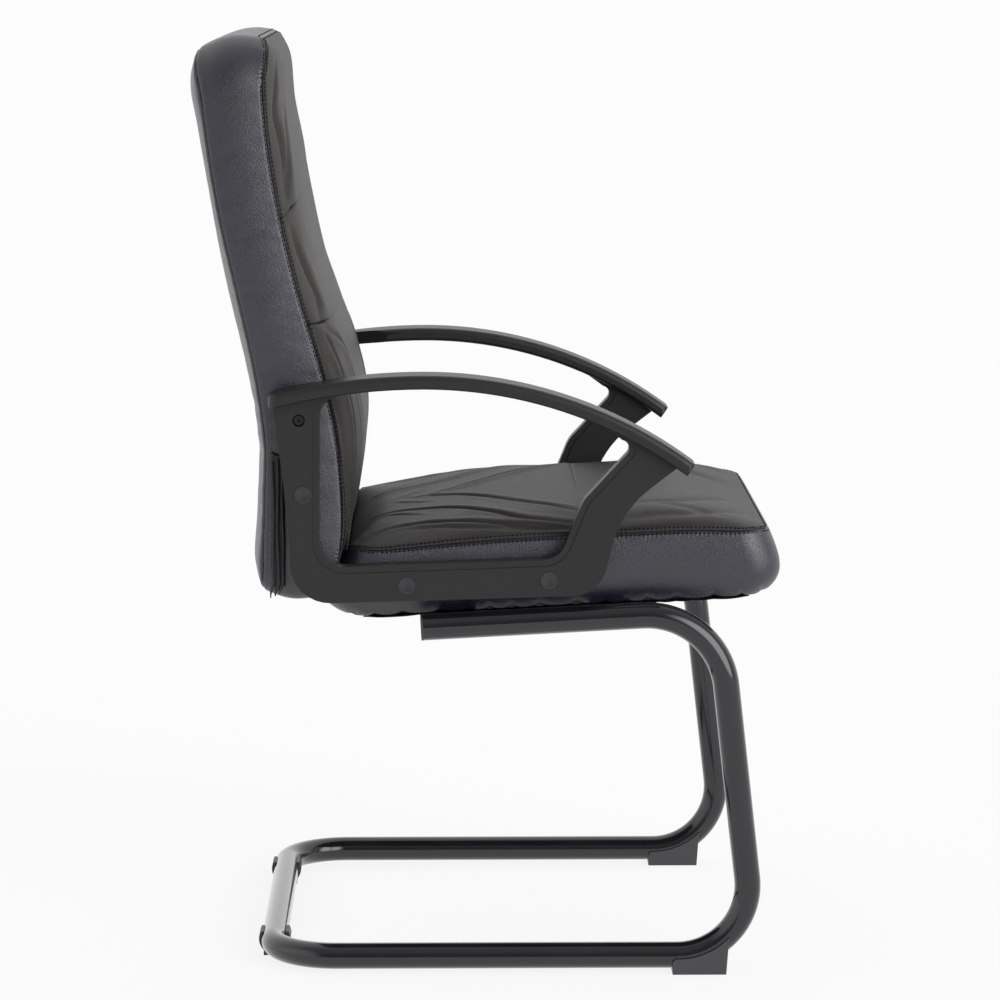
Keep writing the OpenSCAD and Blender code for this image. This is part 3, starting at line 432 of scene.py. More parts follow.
def rim_vertices(piece):
    """Vertices on the seams between the border and the panels in front of and behind it."""
    others = vertices_on(piece, 0, 1, 2, BACK_FACE)
    return np.flatnonzero(vertices_on(piece, BORDER) & others)


def pressed_by_arms(piece, flat=243.6 * MM, give=1.3 * MM):
    """Flattens the sides where the arm loops lie against them."""
    co = points_of(piece.data)
    over = np.abs(co[:, 0]) - flat
    near = np.sign(co[:, 0]) * (flat + give * np.tanh(over / give))
    co[:, 0] = np.where(over > 0, near, co[:, 0])
    put_points(piece.data, co)


def curve_through(knots, at):
    """The smooth curve through knots of place and value."""
    k = np.array(knots, float)
    i = np.clip(np.searchsorted(k[:, 0], at, side="right") - 1, 0, len(k) - 2)
    low, high = np.maximum(np.arange(len(k)) - 1, 0), np.minimum(np.arange(len(k)) + 1,
                                                                 len(k) - 1)
    slope = (k[high, 1] - k[low, 1]) / (k[high, 0] - k[low, 0])
    w = k[i + 1, 0] - k[i, 0]
    t = (at - k[i, 0]) / w
    return ((2 * t ** 3 - 3 * t ** 2 + 1) * k[i, 1] + (t ** 3 - 2 * t ** 2 + t) * w * slope[i]
            + (3 * t ** 2 - 2 * t ** 3) * k[i + 1, 1] + (t ** 3 - t ** 2) * w * slope[i + 1])


def path_field(points, path):
    """Distance of each point from a path, its signed side and how far along it is nearest."""
    best = np.full(len(points), 1e9)
    side, along = np.zeros(len(points)), np.zeros(len(points))
    reached = 0.0
    for p, q in zip(path[:-1], path[1:]):
        d = q - p
        length = math.hypot(*d)
        t = np.clip(((points - p) @ d) / length ** 2, 0, 1)
        off = points - p - t[:, None] * d
        away = np.hypot(off[:, 0], off[:, 1])
        closer = away < best
        best[closer] = away[closer]
        side[closer] = np.sign(d[0] * off[closer, 1] - d[1] * off[closer, 0])
        along[closer] = reached + t[closer] * length
        reached += length
    return best, side, along / reached


def pleat_lift(points, knots, depth, width, roll):
    """How far a pleat moves the leather out, in mm: a crease with a roll on its outer side."""
    knots = np.array(knots, float)
    t = np.linspace(0, 1, len(knots))
    fine = np.linspace(0, 1, 6 * len(knots))
    path = np.stack([curve_through(np.stack([t, knots[:, k]], -1), fine) for k in (0, 1)], -1)
    lift = np.zeros(len(points))
    for mirror in (1, -1):
        flat = points * [mirror, 1]
        away, side, along = path_field(flat, path)
        force = np.interp(along, t, knots[:, 2])
        crease = -depth * np.exp(-(away / width) ** 2)
        rolled = roll * np.exp(-((away - 3.2 * width) / (3 * width)) ** 2)
        lift += force * (crease + rolled * np.where(side > 0, 0.35, 1.0))
    return lift


def all_lifts(points, *kinds):
    """Lift of every fold, by kind: its folds, their (depth, width, roll) and where they are."""
    return sum(pleat_lift(points, fold, *shape) * where
               for folds, shape, where in kinds for fold in folds)


def lifted(piece, lift_mm):
    """Moves each vertex along its normal."""
    mesh = piece.data
    put_points(mesh, points_of(mesh) + normals_of(mesh) * lift_mm[:, None] * MM)


def note_seams(piece, paths):
    """Keeps for each vertex its distance from the nearest seam and its place along it."""
    co = points_of(piece.data)
    away, along = np.full(len(co), 1.0), np.zeros(len(co))
    for path in paths:
        length = np.concatenate([[0], np.cumsum(np.linalg.norm(np.diff(path, axis=0), axis=1))])
        tree = KDTree(len(path))
        for k, p in enumerate(path):
            tree.insert(p, k)
        tree.balance()
        for v, p in enumerate(co):
            _, k, d = tree.find(p)
            if d < away[v]:
                away[v], along[v] = d, length[k]
    for name, values in (("seam_gap", away), ("seam_run", along)):
        layer = piece.data.attributes.new(name, "FLOAT", "POINT")
        layer.data.foreach_set("value", values.astype(np.float32))
    return away


def thicken(piece, thickness, offset):
    skin = piece.modifiers.new("skin", "SOLIDIFY")
    skin.thickness, skin.offset = thickness, offset
    flatten(piece)


def dense(points, closed=False, step=1 * MM):
    """A path with a point about every step."""
    points = np.asarray(points)
    if closed:
        points = np.concatenate([points, points[:1]])
    run = np.concatenate([[0], np.cumsum(np.linalg.norm(np.diff(points, axis=0), axis=1))])
    at = np.linspace(0, run[-1], int(run[-1] / step) + 1)
    return np.stack([np.interp(at, run, points[:, k]) for k in range(3)], -1)


def panel_piece(form, name, numbers, thickness, material):
    """Cuts those panels out of the form as a closed skin of that thickness."""
    mesh = form.data.copy()
    mesh.name = name
    panel = panels_of(mesh)
    bm = bmesh.new()
    bm.from_mesh(mesh)
    bm.faces.ensure_lookup_table()
    bmesh.ops.delete(bm, geom=[f for f in bm.faces if panel[f.index] not in numbers],
                     context="FACES")
    bm.to_mesh(mesh)
    bm.free()
    painted(mesh, material)
    piece = in_scene(name, mesh)
    thicken(piece, thickness, -1)
    return piece


def stuffing(form, name, inset, material):
    """The closed foam body inside the leather."""
    mesh = form.data.copy()
    mesh.name = name
    put_points(mesh, points_of(mesh) - normals_of(mesh) * inset)
    mesh.shade_smooth()
    painted(mesh, material)
    return in_scene(name, mesh)


def sewn_in(piece, node):
    """A finished part of a cushion, which stands for that CAD node."""
    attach(piece, "root")
    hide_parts(node)


def covered(form, core, side, panels):
    """Cuts the form into leather covers over its foam. Gives its shape for the stitches."""
    for part, numbers, slot in panels:
        cover = panel_piece(form, f"{side}_{part}_cover", numbers, LEATHER, leathers[slot])
        node = f"{side}_{part}" if part == "border" else f"{side}_{part}_panel"
        sewn_in(cover, node)
    sewn_in(core, f"{side}_foam")
    shape = BVHTree.FromObject(form, bpy.context.evaluated_depsgraph_get())
    bpy.data.objects.remove(form)
    return shape


# The second pair gives distances from a seam: inside the first the leather is painted near black
# as shade in the seam's groove, and past the second it has its own colour and sheen.
STITCH_PITCH, PAINTED_SEAM_SHADE = 4.6 * MM, (0.4 * MM, 1.7 * MM)
STUFFING_CAP, FOAM_INSET, LEATHER = 5 * MM, 8 * MM, 1.4 * MM


def leather_finish(name, dark, light, roughness, shine, grain, depth):
    """Pebbled grain, soft wrinkles, puckers square to the seams, and painted shade along the
    seams.
    """
    material, tree, shader = finish(name, dark, roughness)
    here = place(tree)
    pebble = add(tree, "TexVoronoi", Vector=here, feature="SMOOTH_F1", Scale=grain,
                 Smoothness=0.5)
    fine = add(tree, "TexNoise", Vector=here, Scale=3.1 * grain, Detail=2.0)
    crumple = add(tree, "TexNoise", Vector=here, Scale=30.0, Detail=4.0, Roughness=0.5,
                  Distortion=0.8)
    cloud = add(tree, "TexNoise", Vector=here, Scale=7.0, Detail=3.0)
    gap = add(tree, "Attribute", attribute_name="seam_gap", out=2)
    run = add(tree, "Attribute", attribute_name="seam_run", out=2)
    near = ranged(tree, gap, 1.0, 0.0, 0.002, 0.009, "SMOOTHSTEP")
    beat = add(tree, "Math", operation="SINE",
               _0=worked(tree, "MULTIPLY", run, 2 * math.pi / STITCH_PITCH))
    uneven = add(tree, "TexNoise", Vector=here, Scale=160.0, Detail=1.0)
    pucker = worked(tree, "MULTIPLY", near, worked(tree, "MULTIPLY", beat, uneven))
    tone = worked(tree, "ADD", ranged(tree, cloud, 0, 0.7, 0.3, 0.7),
                  ranged(tree, pebble, 0.3, 0.0, 0.1, 0.5))
    # Painted shade: the colour goes to near black right at each seam, for the shadow in its
    # groove, and the sheen is dulled there too.
    colour = add(tree, "Mix", out=2, data_type="RGBA", _6=(0.002, 0.002, 0.0025, 1),
                 _0=ranged(tree, gap, 0, 1, *PAINTED_SEAM_SHADE), _7=mixed(tree, tone, dark, light))
    tree.links.new(colour, shader.inputs["Base Color"])
    tree.links.new(ranged(tree, gap, 0.05, shine, *PAINTED_SEAM_SHADE),
                   shader.inputs["Specular IOR Level"])
    tree.links.new(ranged(tree, pebble, roughness - 0.04, roughness + 0.16, 0.1, 0.6),
                   shader.inputs["Roughness"])
    bumped(tree, shader, (crumple, 0.0012, 0.2), (pucker, 0.0004, 0.5),
           (pebble, -depth, 1.0), (fine, depth / 4, 0.4))
    return material


leathers = {
    "border_leather": leather_finish("border_leather", (0.009, 0.0085, 0.018),
                                     (0.015, 0.014, 0.03), 0.24, 0.85, 820.0, 0.0003),
    "face_leather": leather_finish("face_leather", (0.019, 0.0175, 0.0162),
                                   (0.029, 0.0267, 0.0245), 0.4, 0.34, 820.0, 0.0002)}

foam, tree, shader = finish("foam", (0.75, 0.66, 0.42), 0.9)
cells = add(tree, "TexVoronoi", Vector=place(tree), Scale=900.0)
tree.links.new(mixed(tree, cells, (0.6, 0.52, 0.32), (0.8, 0.72, 0.48)),
               shader.inputs["Base Color"])
bumped(tree, shader, (cells, 0.0006, 0.6))

seat = cushion_mesh("seat_form", seat_face, seat_edge, partial(seat_edge, f=0.0), SEAT_COLS,
                    len(SEAT_ROWS) - 1, SEAT_LEVELS, lambda j: 0 if j < SEAT_FRONT_ROWS else 1)
stapled = np.flatnonzero(in_seat(points_of(seat.data))[2] < SEAT_HELD_H)
stuffed(seat, {*rim_vertices(seat), *stapled}, STUFFING_CAP, 0.0)
pressed_by_arms(seat)
seat_core = stuffing(seat, "seat_core", FOAM_INSET, foam)
subdivided(seat)

seat_ring = np.array(ring_of(SEAT_COLS, len(SEAT_ROWS) - 1))
seat_rim = dense(seat_face(seat_ring[:, 0], seat_ring[:, 1]), closed=True)
seat_cross = dense(seat_face(np.arange(SEAT_COLS + 1),
                             np.full(SEAT_COLS + 1, SEAT_FRONT_ROWS)))


# Depth, width and roll in mm of deep pleats, of shallow tucks between them, and of the broad
# folds on the seat's front panel and on the back. The lists give knots of place across,
# place along the seat line and force.
PLEAT, TUCK = (3.4, 2.3, 2.0), (1.8, 2.3, 1.2)
SEAT_FOLD, BACK_FOLD = (2.2, 8.0, 1.2), (3.4, 4.5, 1.6)
SEAT_PLEATS = [
    [(-196, -101, 0.3), (-163, -71, 0.9), (-123, -37, 1), (-71, -2, 1), (-30, 30, 1),
     (-5, 60, 0.7), (6, 85, 0.1)],
    [(-226, -99, 0.4), (-218, -70, 0.9), (-204, -35, 1), (-169, -1, 1), (-123, 35, 1),
     (-96, 75, 0.9), (-85, 104, 0.7), (-88, 126, 0.2)],
    [(-232, -96, 0.4), (-227, -58, 0.9), (-221, -23, 1), (-205, 20, 1), (-190, 60, 1),
     (-186, 95, 0.9), (-196, 122, 0.3)],
]
SEAT_TUCKS = [
    [(-231, -88, 0.2), (-229, -50, 0.8), (-226, -15, 1), (-217, 25, 1), (-205, 62, 0.8),
     (-203, 92, 0.2)],
    [(-60, 52, 0), (-40, 74, 0.6), (-20, 92, 0.7), (0, 106, 0)],
    [(-150, 60, 0), (-118, 86, 0.6), (-106, 106, 0.8), (-108, 124, 0)],
]
SEAT_FOLDS = [
    [(-190, -140, 0), (-164, -176, 0.8), (-146, -211, 1), (-101, -246, 0.8), (-60, -272, 0)],
    [(-224, -130, 0), (-217, -175, 0.9), (-214, -217, 1), (-190, -250, 0.7),
     (-160, -280, 0)],
]


def staple_hem(piece):
    """Scallops along the hem: each staple pulls the leather up under the board."""
    mesh = piece.data
    co = points_of(mesh)
    x, s, h = in_seat(co)
    u = np.where(np.abs(x) > 205, s, x)
    pulled = 1 - np.abs(np.sin(math.pi * (u + 7 * np.sin(u / 23)) / 29))
    edge = (np.abs(x) > 225) | (s < -272) | (s > 143)
    move = 2.2 * pulled ** 1.6 * smooth((24 - h) / 13) * edge
    co[:, 2] += move * MM
    co[:, 0] -= np.sign(co[:, 0]) * 0.5 * move * MM * (np.abs(x) > 225)
    put_points(mesh, co)


def seam_groove(gap, depth=2.2, width=1.9):
    """How far the thread draws the leather in, in mm."""
    return -depth * np.exp(-(gap / MM / width) ** 2)


gap = note_seams(seat, [seat_rim, seat_cross])
x, s, h = in_seat(points_of(seat.data))
lift = all_lifts(np.stack([x, s], -1), (SEAT_PLEATS, PLEAT, s > SEAT_CROSS),
                 (SEAT_TUCKS, TUCK, True), (SEAT_FOLDS, SEAT_FOLD, s < SEAT_CROSS))
lifted(seat, lift * vertices_on(seat, 0, 1) + seam_groove(gap))
staple_hem(seat)

seat_form_tree = covered(seat, seat_core, "seat", (
    ("border", (BORDER, BACK_FACE), "border_leather"), ("front", (0,), "face_leather"),
    ("rear", (1,), "face_leather")))


# Back cushion.
# A high back on a plywood board: three leather panels in front, a border all round and a
# plain rear panel. Pleats fan out from the ends of both seams across the front.

BACK_COLS = 84
BACK_LOW_SEAM, BACK_HIGH_SEAM = 48, 70
BACK_FOOT, BACK_LOW_H, BACK_HIGH_H, BACK_TOP = 23, 315, 444, 612
BACK_ROWS = rows_between((BACK_FOOT, 0), (BACK_LOW_H, BACK_LOW_SEAM),
                         (BACK_HIGH_H, BACK_HIGH_SEAM - BACK_LOW_SEAM), (BACK_TOP, 29))
BACK_LEVELS = (0.94, 0.86, 0.76, 0.64, 0.5, 0.36, 0.24, 0.14, 0.06)
BACK_FRONT_EDGE = [(22, 186), (64, 158), (172, 158), (264, 176), (344, 199), (424, 218),
                   (504, 231), (624, 241)]
BACK_REAR_EDGE = [(22, 239), (64, 241), (130, 239), (190, 238), (264, 248), (344, 265),
                  (424, 283), (504, 296), (574, 303), (615, 303)]
BACK_FRONT_SWELL = [(22, 0), (74, 4), (94, 8), (123, 14), (170, 23), (201, 28), (227, 29),
                    (278, 27), (326, 25), (363, 22), (436, 22.5), (477, 22), (533, 18),
                    (573, 19), (615, 23)]
BACK_REAR_SWELL = [(22, 14), (43, 14), (80, 9), (116, 7), (214, 7.5), (295, 10.5), (357, 11),
                   (443, 7), (519, 9.5), (551, 14.5), (572, 17), (615, 18)]


def back_ends(f):
    bulge = math.sin(math.pi * f)
    return (BACK_FOOT + 8 * (1 - f) ** 2 - 3 * bulge,
            BACK_TOP - 10 * (1 - f) ** 2 + 4 * bulge)


def back_ab(i, j):
    """Rows bend down at their ends near the upper seam, as that seam does."""
    a, h = 2 * i / BACK_COLS - 1, BACK_ROWS[j]
    share = np.interp(h, [BACK_LOW_H, BACK_HIGH_H, BACK_TOP], [0, 1, 0]) * (h > BACK_LOW_H)
    level = h - 20 * np.abs(a) ** 6 * share
    return a, 2 * (level - BACK_FOOT) / (BACK_TOP - BACK_FOOT) - 1


def back_outline(a, b, f):
    low, high = back_ends(f)
    v = (b + 1) / 2
    half = 243 - 2.5 * (1 - math.sin(math.pi * f)) - 9 * np.clip((v - 0.45) / 0.55, 0, 1) ** 1.5
    x, h = rounded_plan(a, b, half, low, high, 25, 55)
    y = lerp(curve_through(BACK_REAR_EDGE, h), curve_through(BACK_FRONT_EDGE, h), f)
    return x, y, h, half


def on_back(x, y, h):
    return np.stack(np.broadcast_arrays(x * MM, ORIGIN_Y + y * MM, SEAT_LINE_Z + h * MM), -1)


def back_face(i, j):
    x, y, h, half = back_outline(*back_ab(i, j), 1.0)
    low, high = back_ends(1.0)
    swell = (np.sqrt(np.clip(1 - np.abs(x / half) ** 4, 0, 1)) * end_swell(high - h, 45)
             * end_swell(h - low, 60))
    return on_back(x, y - swell * (curve_through(BACK_FRONT_SWELL, h) - 4), h)


def back_edge(i, j, f):
    return on_back(*back_outline(*back_ab(i, j), f)[:3])


def back_rear(i, j):
    x, y, h, half = back_outline(*back_ab(i, j), 0.0)
    low, high = back_ends(0.0)
    swell = (np.sqrt(np.clip(1 - np.abs(x / half) ** 3, 0, 1)) * end_swell(high - h, 60)
             * end_swell(h - low, 40))
    return on_back(x, y + swell * (curve_through(BACK_REAR_SWELL, h) - 2), h)


def back_panel(j):
    return 0 if j < BACK_LOW_SEAM else 1 if j < BACK_HIGH_SEAM else 2


back = cushion_mesh("back_form", back_face, back_edge, back_rear, BACK_COLS,
                    len(BACK_ROWS) - 1, BACK_LEVELS, back_panel)
stuffed(back, rim_vertices(back), STUFFING_CAP, 0.003)
pressed_by_arms(back)
back_core = stuffing(back, "back_core", FOAM_INSET, foam)
subdivided(back)

back_ring = np.array(ring_of(BACK_COLS, len(BACK_ROWS) - 1))
back_rim = dense(back_face(back_ring[:, 0], back_ring[:, 1]), closed=True)
back_rear_rim = dense(back_rear(back_ring[:, 0], back_ring[:, 1]), closed=True)
across_back = np.arange(BACK_COLS + 1)
back_crosses = [dense(back_face(across_back, np.full(BACK_COLS + 1, j)))
                for j in (BACK_LOW_SEAM, BACK_HIGH_SEAM)]


def let_in_zips(piece):
    """A shallow channel low on both sides, where the closing lies in the border."""
    co = points_of(piece.data)
    y, h = (co[:, 1] - ORIGIN_Y) / MM, (co[:, 2] - SEAT_LINE_Z) / MM
    within = smooth((14 - np.abs(y - 223)) / 6) * smooth((76 - np.abs(h - 106)) / 8)
    limit = np.minimum(np.abs(co[:, 0]), 241.2 * MM)
    co[:, 0] = np.sign(co[:, 0]) * lerp(np.abs(co[:, 0]), limit, within)
    put_points(piece.data, co)


# The same for the back, with the height above the seat line.
BACK_PLEATS = [
    [(-214, 308, 0.3), (-190, 301, 1), (-160, 291, 1), (-138, 275, 1), (-128, 255, 0.9),
     (-122, 225, 0.7), (-118, 190, 0.5), (-116, 150, 0)],
    [(-219, 304, 0.3), (-210, 285, 1), (-203, 255, 1), (-202, 225, 1), (-205, 190, 0.9),
     (-207, 150, 0.7), (-206, 105, 0.1)],
]
BACK_FOLDS = [
    [(-170, 282, 0), (-163, 250, 0.6), (-160, 200, 0.7), (-158, 160, 0.5), (-158, 120, 0)],
    [(-213, 320, 0.4), (-200, 337, 1), (-204, 360, 1), (-213, 385, 0.9), (-220, 412, 0.3)],
    [(-214, 446, 0.3), (-206, 460, 0.8), (-192, 482, 1), (-175, 505, 0.8), (-150, 532, 0.4),
     (-120, 556, 0)],
    [(-216, 448, 0.2), (-207, 478, 0.8), (-203, 506, 1), (-206, 534, 1), (-195, 564, 0.8),
     (-182, 592, 0)],
]

gap = note_seams(back, [back_rim, back_rear_rim, *back_crosses])
co = points_of(back.data)
face = np.stack([co[:, 0] / MM, (co[:, 2] - SEAT_LINE_Z) / MM], -1)
lift = all_lifts(face, (BACK_PLEATS, PLEAT, True), (BACK_FOLDS, BACK_FOLD, True))
lifted(back, lift * vertices_on(back, 0, 1, 2) + seam_groove(gap))
let_in_zips(back)

back_form_tree = covered(back, back_core, "back", (
    ("border", (BORDER,), "border_leather"), ("rear", (BACK_FACE,), "border_leather"),
    ("lumbar", (0,), "face_leather"), ("middle", (1,), "face_leather"),
    ("head", (2,), "face_leather")))


# Stitching.
# Black bonded thread: rows of short stitches on both sides of the seams, sunk a little
# into the leather at their ends.


def stitch_places(form, path, offset, toward, pitch=STITCH_PITCH):
    """Places, directions and outward directions of stitches beside a path on a form."""
    places, runs, outs = [], [], []
    step = max(1, int(round(pitch / MM)))
    path = dense(path, step=pitch / step)
    for k in range(step, len(path) - step, step):
        run = Vector(path[k + 1] - path[k - 1]).normalized()
        _, out, _, _ = form.find_nearest(Vector(path[k]))
        across = out.cross(run).normalized()
        if across.dot(Vector(toward) - Vector(path[k])) < 0:
            across = -across
        spot, out, _, _ = form.find_nearest(Vector(path[k]) + across * offset)
        places.append(spot + out * 0.15 * MM)
        runs.append(run)
        outs.append(out)
    return places, runs, outs


def stitch_tree(thread):
    """Geometry Nodes that lay one stitch on each point, turned along the seam."""
    tree = bpy.data.node_groups.new("stitch_rows", "GeometryNodeTree")
    face = tree.interface
    face.new_socket("Places", in_out="INPUT", socket_type="NodeSocketGeometry")
    length = face.new_socket("Stitch length", in_out="INPUT", socket_type="NodeSocketFloat")
    width = face.new_socket("Thread width", in_out="INPUT", socket_type="NodeSocketFloat")
    face.new_socket("Stitches", in_out="OUTPUT", socket_type="NodeSocketGeometry")
    n = {}
    for key, kind in (("in", "NodeGroupInput"), ("out", "NodeGroupOutput"),
                      ("ball", "GeometryNodeMeshUVSphere"),
                      ("size", "ShaderNodeCombineXYZ"),
                      ("shape", "GeometryNodeTransform"),
                      ("run", "GeometryNodeInputNamedAttribute"),
                      ("up", "GeometryNodeInputNamedAttribute"),
                      ("turn", "FunctionNodeAxesToRotation"),
                      ("lay", "GeometryNodeInstanceOnPoints"),
                      ("real", "GeometryNodeRealizeInstances"),
                      ("paint", "GeometryNodeSetMaterial"),
                      ("soft", "GeometryNodeSetShadeSmooth")):
        n[key] = tree.nodes.new(kind)
    for key, socket, value in (("ball", "Segments", 6), ("ball", "Rings", 4),
                               ("ball", "Radius", 0.5), ("run", "Name", "run"),
                               ("up", "Name", "up"), ("paint", "Material", thread)):
        n[key].inputs[socket].default_value = value
    n["run"].data_type = n["up"].data_type = "FLOAT_VECTOR"
    n["turn"].primary_axis, n["turn"].secondary_axis = "Z", "X"
    for source, out, target, into in (
            ("in", "Stitch length", "size", "X"), ("in", "Thread width", "size", "Y"),
            ("in", "Thread width", "size", "Z"), ("size", 0, "shape", "Scale"),
            ("ball", "Mesh", "shape", "Geometry"), ("up", "Attribute", "turn", 0),
            ("run", "Attribute", "turn", 1), ("in", "Places", "lay", "Points"),
            ("shape", 0, "lay", "Instance"), ("turn", 0, "lay", "Rotation"),
            ("lay", 0, "real", 0), ("real", 0, "soft", 0), ("soft", 0, "paint", "Geometry"),
            ("paint", 0, "out", "Stitches")):
        tree.links.new(n[source].outputs[out], n[target].inputs[into])
    return tree, length.identifier, width.identifier


def laid_out(name, rows, tree, sizes):
    """A piece made by the tree from rows of (places, directions, outward directions)."""
    places = [p for row in rows for p in row[0]]
    mesh = bpy.data.meshes.new(name)
    mesh.from_pydata(places, [], [])
    for key, k in (("run", 1), ("up", 2)):
        values = np.array([v for row in rows for v in row[k]], np.float32)
        mesh.attributes.new(key, "FLOAT_VECTOR", "POINT").data.foreach_set(
            "vector", values.ravel())
    piece = in_scene(name, mesh)
    maker = piece.modifiers.new("maker", "NODES")
    maker.node_group = tree
    for socket, value in sizes.items():
        maker[socket] = value
    flatten(piece)
    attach(piece, "root")
    return piece


thread, tree, shader = finish("thread", (0.002, 0.002, 0.003), 0.7, Specular_IOR_Level=0.08)
twist = add(tree, "TexWave", Vector=place(tree), Scale=900.0, Distortion=2.0)
tree.links.new(ranged(tree, twist, 0.55, 0.85), shader.inputs["Roughness"])
bumped(tree, shader, (twist, 0.0001, 0.5))
stitch_rows, LENGTH, WIDTH = stitch_tree(thread)
STITCH = {LENGTH: 3.5 * MM, WIDTH: 1.3 * MM}

# One row lies on the panel's side of the seam, the other on the border.
seat_middle = seat_face(np.array([SEAT_COLS // 2]), np.array([40]))[0]
seat_below = seat_middle - [0, 0, 0.3]
laid_out("seat_stitching",
         [stitch_places(seat_form_tree, seat_rim, 3.0 * MM, seat_middle),
          stitch_places(seat_form_tree, seat_rim, 3.4 * MM, seat_below)],
         stitch_rows, STITCH)
back_middle = back_face(np.array([BACK_COLS // 2]), np.array([50]))[0]
back_behind = back_middle + [0, 0.5, 0]
laid_out("back_stitching",
         [stitch_places(back_form_tree, back_rim, 2.9 * MM, toward)
          for toward in (back_middle, back_behind)],
         stitch_rows, STITCH)


# Arms.
# Loops moulded in glass-filled polypropylene in one piece with their pads: fine matt
# texture, eased edges, a raised rim along the opening. Screwed on from outside, with caps.

arm_plastic = moulded_finish("arm_plastic", (0.013, 0.013, 0.014), (0.018, 0.018, 0.019), 0.38,
                             1100.0, 0.00025, shine=0.32)

ARM_OUTER, RIM_STEP = 269.5, 1.5
ARM_SCREWS = ((88, 43), (-61, 48), (196, 139), (200, 217))
PAD_PEAK_Y, PAD_TOP, PAD_T = 70, 265, 14.5
PAD_FRONT_R, PAD_REAR_R = 474, 650


def pad_middle(y):
    """Height of the pad's middle surface above the seat line, in mm."""
    r = np.where(y < PAD_PEAK_Y, PAD_FRONT_R, PAD_REAR_R)
    return PAD_TOP - r + np.sqrt((r - PAD_T / 2) ** 2 - (y - PAD_PEAK_Y) ** 2)


def round_pad_end(bm, tip=232, reach=5.5):
    """Draws the pad's flat-cut rear end in to a round nose."""
    for d in (0.15, 0.5, 1.1, 1.9, 3.0, 4.2, reach):
        bmesh.ops.bisect_plane(bm, geom=[*bm.verts, *bm.edges, *bm.faces],
                               plane_co=(0, ORIGIN_Y + (tip - d) * MM, 0), plane_no=(0, 1, 0))
    for v in bm.verts:
        y = (v.co.y - ORIGIN_Y) / MM
        d = tip - y
        if d < reach:
            middle = SEAT_LINE_Z + float(pad_middle(np.float64(y))) * MM
            keep = math.sqrt(max(1 - (1 - max(d, 0.1) / reach) ** 2, 0))
            v.co.z = middle + (v.co.z - middle) * lerp(0.35, 1, keep)


def edge_softness(e):
    """Share of the largest rounding that an edge of the arm gets."""
    at = max(abs(v.co.x) for v in e.verts) / MM
    spans = [(max(v.co.x for v in f.verts) - min(v.co.x for v in f.verts)) / MM
             for f in e.link_faces if abs(f.normal.x) < 0.5]
    y = (e.verts[0].co.y - ORIGIN_Y) / MM
    h = (e.verts[0].co.z - SEAT_LINE_Z) / MM
    if any(math.hypot(y - p, h - q) < 12 for p, q in ARM_SCREWS):
        return 0.15
    if any(0.5 < span < 2 for span in spans):
        return 0.22
    if abs(at - (ARM_OUTER - RIM_STEP)) < 0.2:
        return 1.0
    return 0.6


def eased_copy(node, name, radius):
    """A copy of an arm with its edges rounded, as they leave the mould."""
    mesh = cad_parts[node].data.copy()
    mesh.name = name
    if "custom_normal" in mesh.attributes:
        mesh.attributes.remove(mesh.attributes["custom_normal"])
    bm = bmesh.new()
    bm.from_mesh(mesh)
    bmesh.ops.remove_doubles(bm, verts=bm.verts, dist=0.01 * MM)
    bmesh.ops.dissolve_limit(bm, angle_limit=0.002, verts=bm.verts, edges=bm.edges)
    round_pad_end(bm)
    weight = bm.edges.layers.float.new("bevel_weight_edge")
    for e in bm.edges:
        if len(e.link_faces) == 2 and e.calc_face_angle(0) > 0.6:
            e[weight] = edge_softness(e)
    bm.to_mesh(mesh)
    bm.free()
    piece = in_scene(name, mesh)
    eased = piece.modifiers.new("eased", "BEVEL")
    eased.limit_method = "WEIGHT"
    eased.width, eased.segments = radius, 3
    flat = piece.modifiers.new("flat", "WEIGHTED_NORMAL")
    flat.weight = 100
    mesh.shade_smooth()
    flatten(piece)
    return piece


for side in ("right", "left"):
    arm = eased_copy(f"arm_{side}", f"arm_loop_{side}", 2.4 * MM)
    painted(arm.data, arm_plastic)
    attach(arm, "root")
    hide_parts(f"arm_{side}")

dress(moulded_finish("cap_plastic", (0.016, 0.016, 0.0195), (0.021, 0.021, 0.025), 0.28,
                     1500.0, 0.0001), "arm_bolt_caps")


# Dust cover, hem and staples.
# A thin non-woven sheet under the board, held with the leather's folded hem by wire staples.
# Holes let the seat bolts through.

cloth, tree, shader = finish("dust_cloth", (0.02, 0.02, 0.021), 0.95)
fibres = add(tree, "TexNoise", Vector=place(tree), Scale=700.0, Detail=6.0)
bumped(tree, shader, (fibres, 0.0004, 0.6))
tree.links.new(mixed(tree, fibres, (0.012, 0.012, 0.013), (0.032, 0.032, 0.034)),
               shader.inputs["Base Color"])

PLATES, BOLT_X = (-125, 35), 100
SHEET_HALF, SHEET_FRONT, SHEET_REAR = 204, -252, 132


def clear_of_plates(s):
    return np.min([smooth((np.abs(s - plate) - 24) / 30) for plate in PLATES], axis=0)


def sheet_point(a, b):
    x, s = rounded_plan(a, b, SHEET_HALF, SHEET_FRONT, SHEET_REAR, 40, 40)
    sag = 1.6 * clear_of_plates(s) * (1 - a ** 4) * (1 - b ** 4)
    gathers = 0.5 * clear_of_plates(s) * np.sin(x / 7 + 3 * np.sin(s / 40)) * np.abs(b) ** 3
    return x, s, 10.45 - sag - gathers


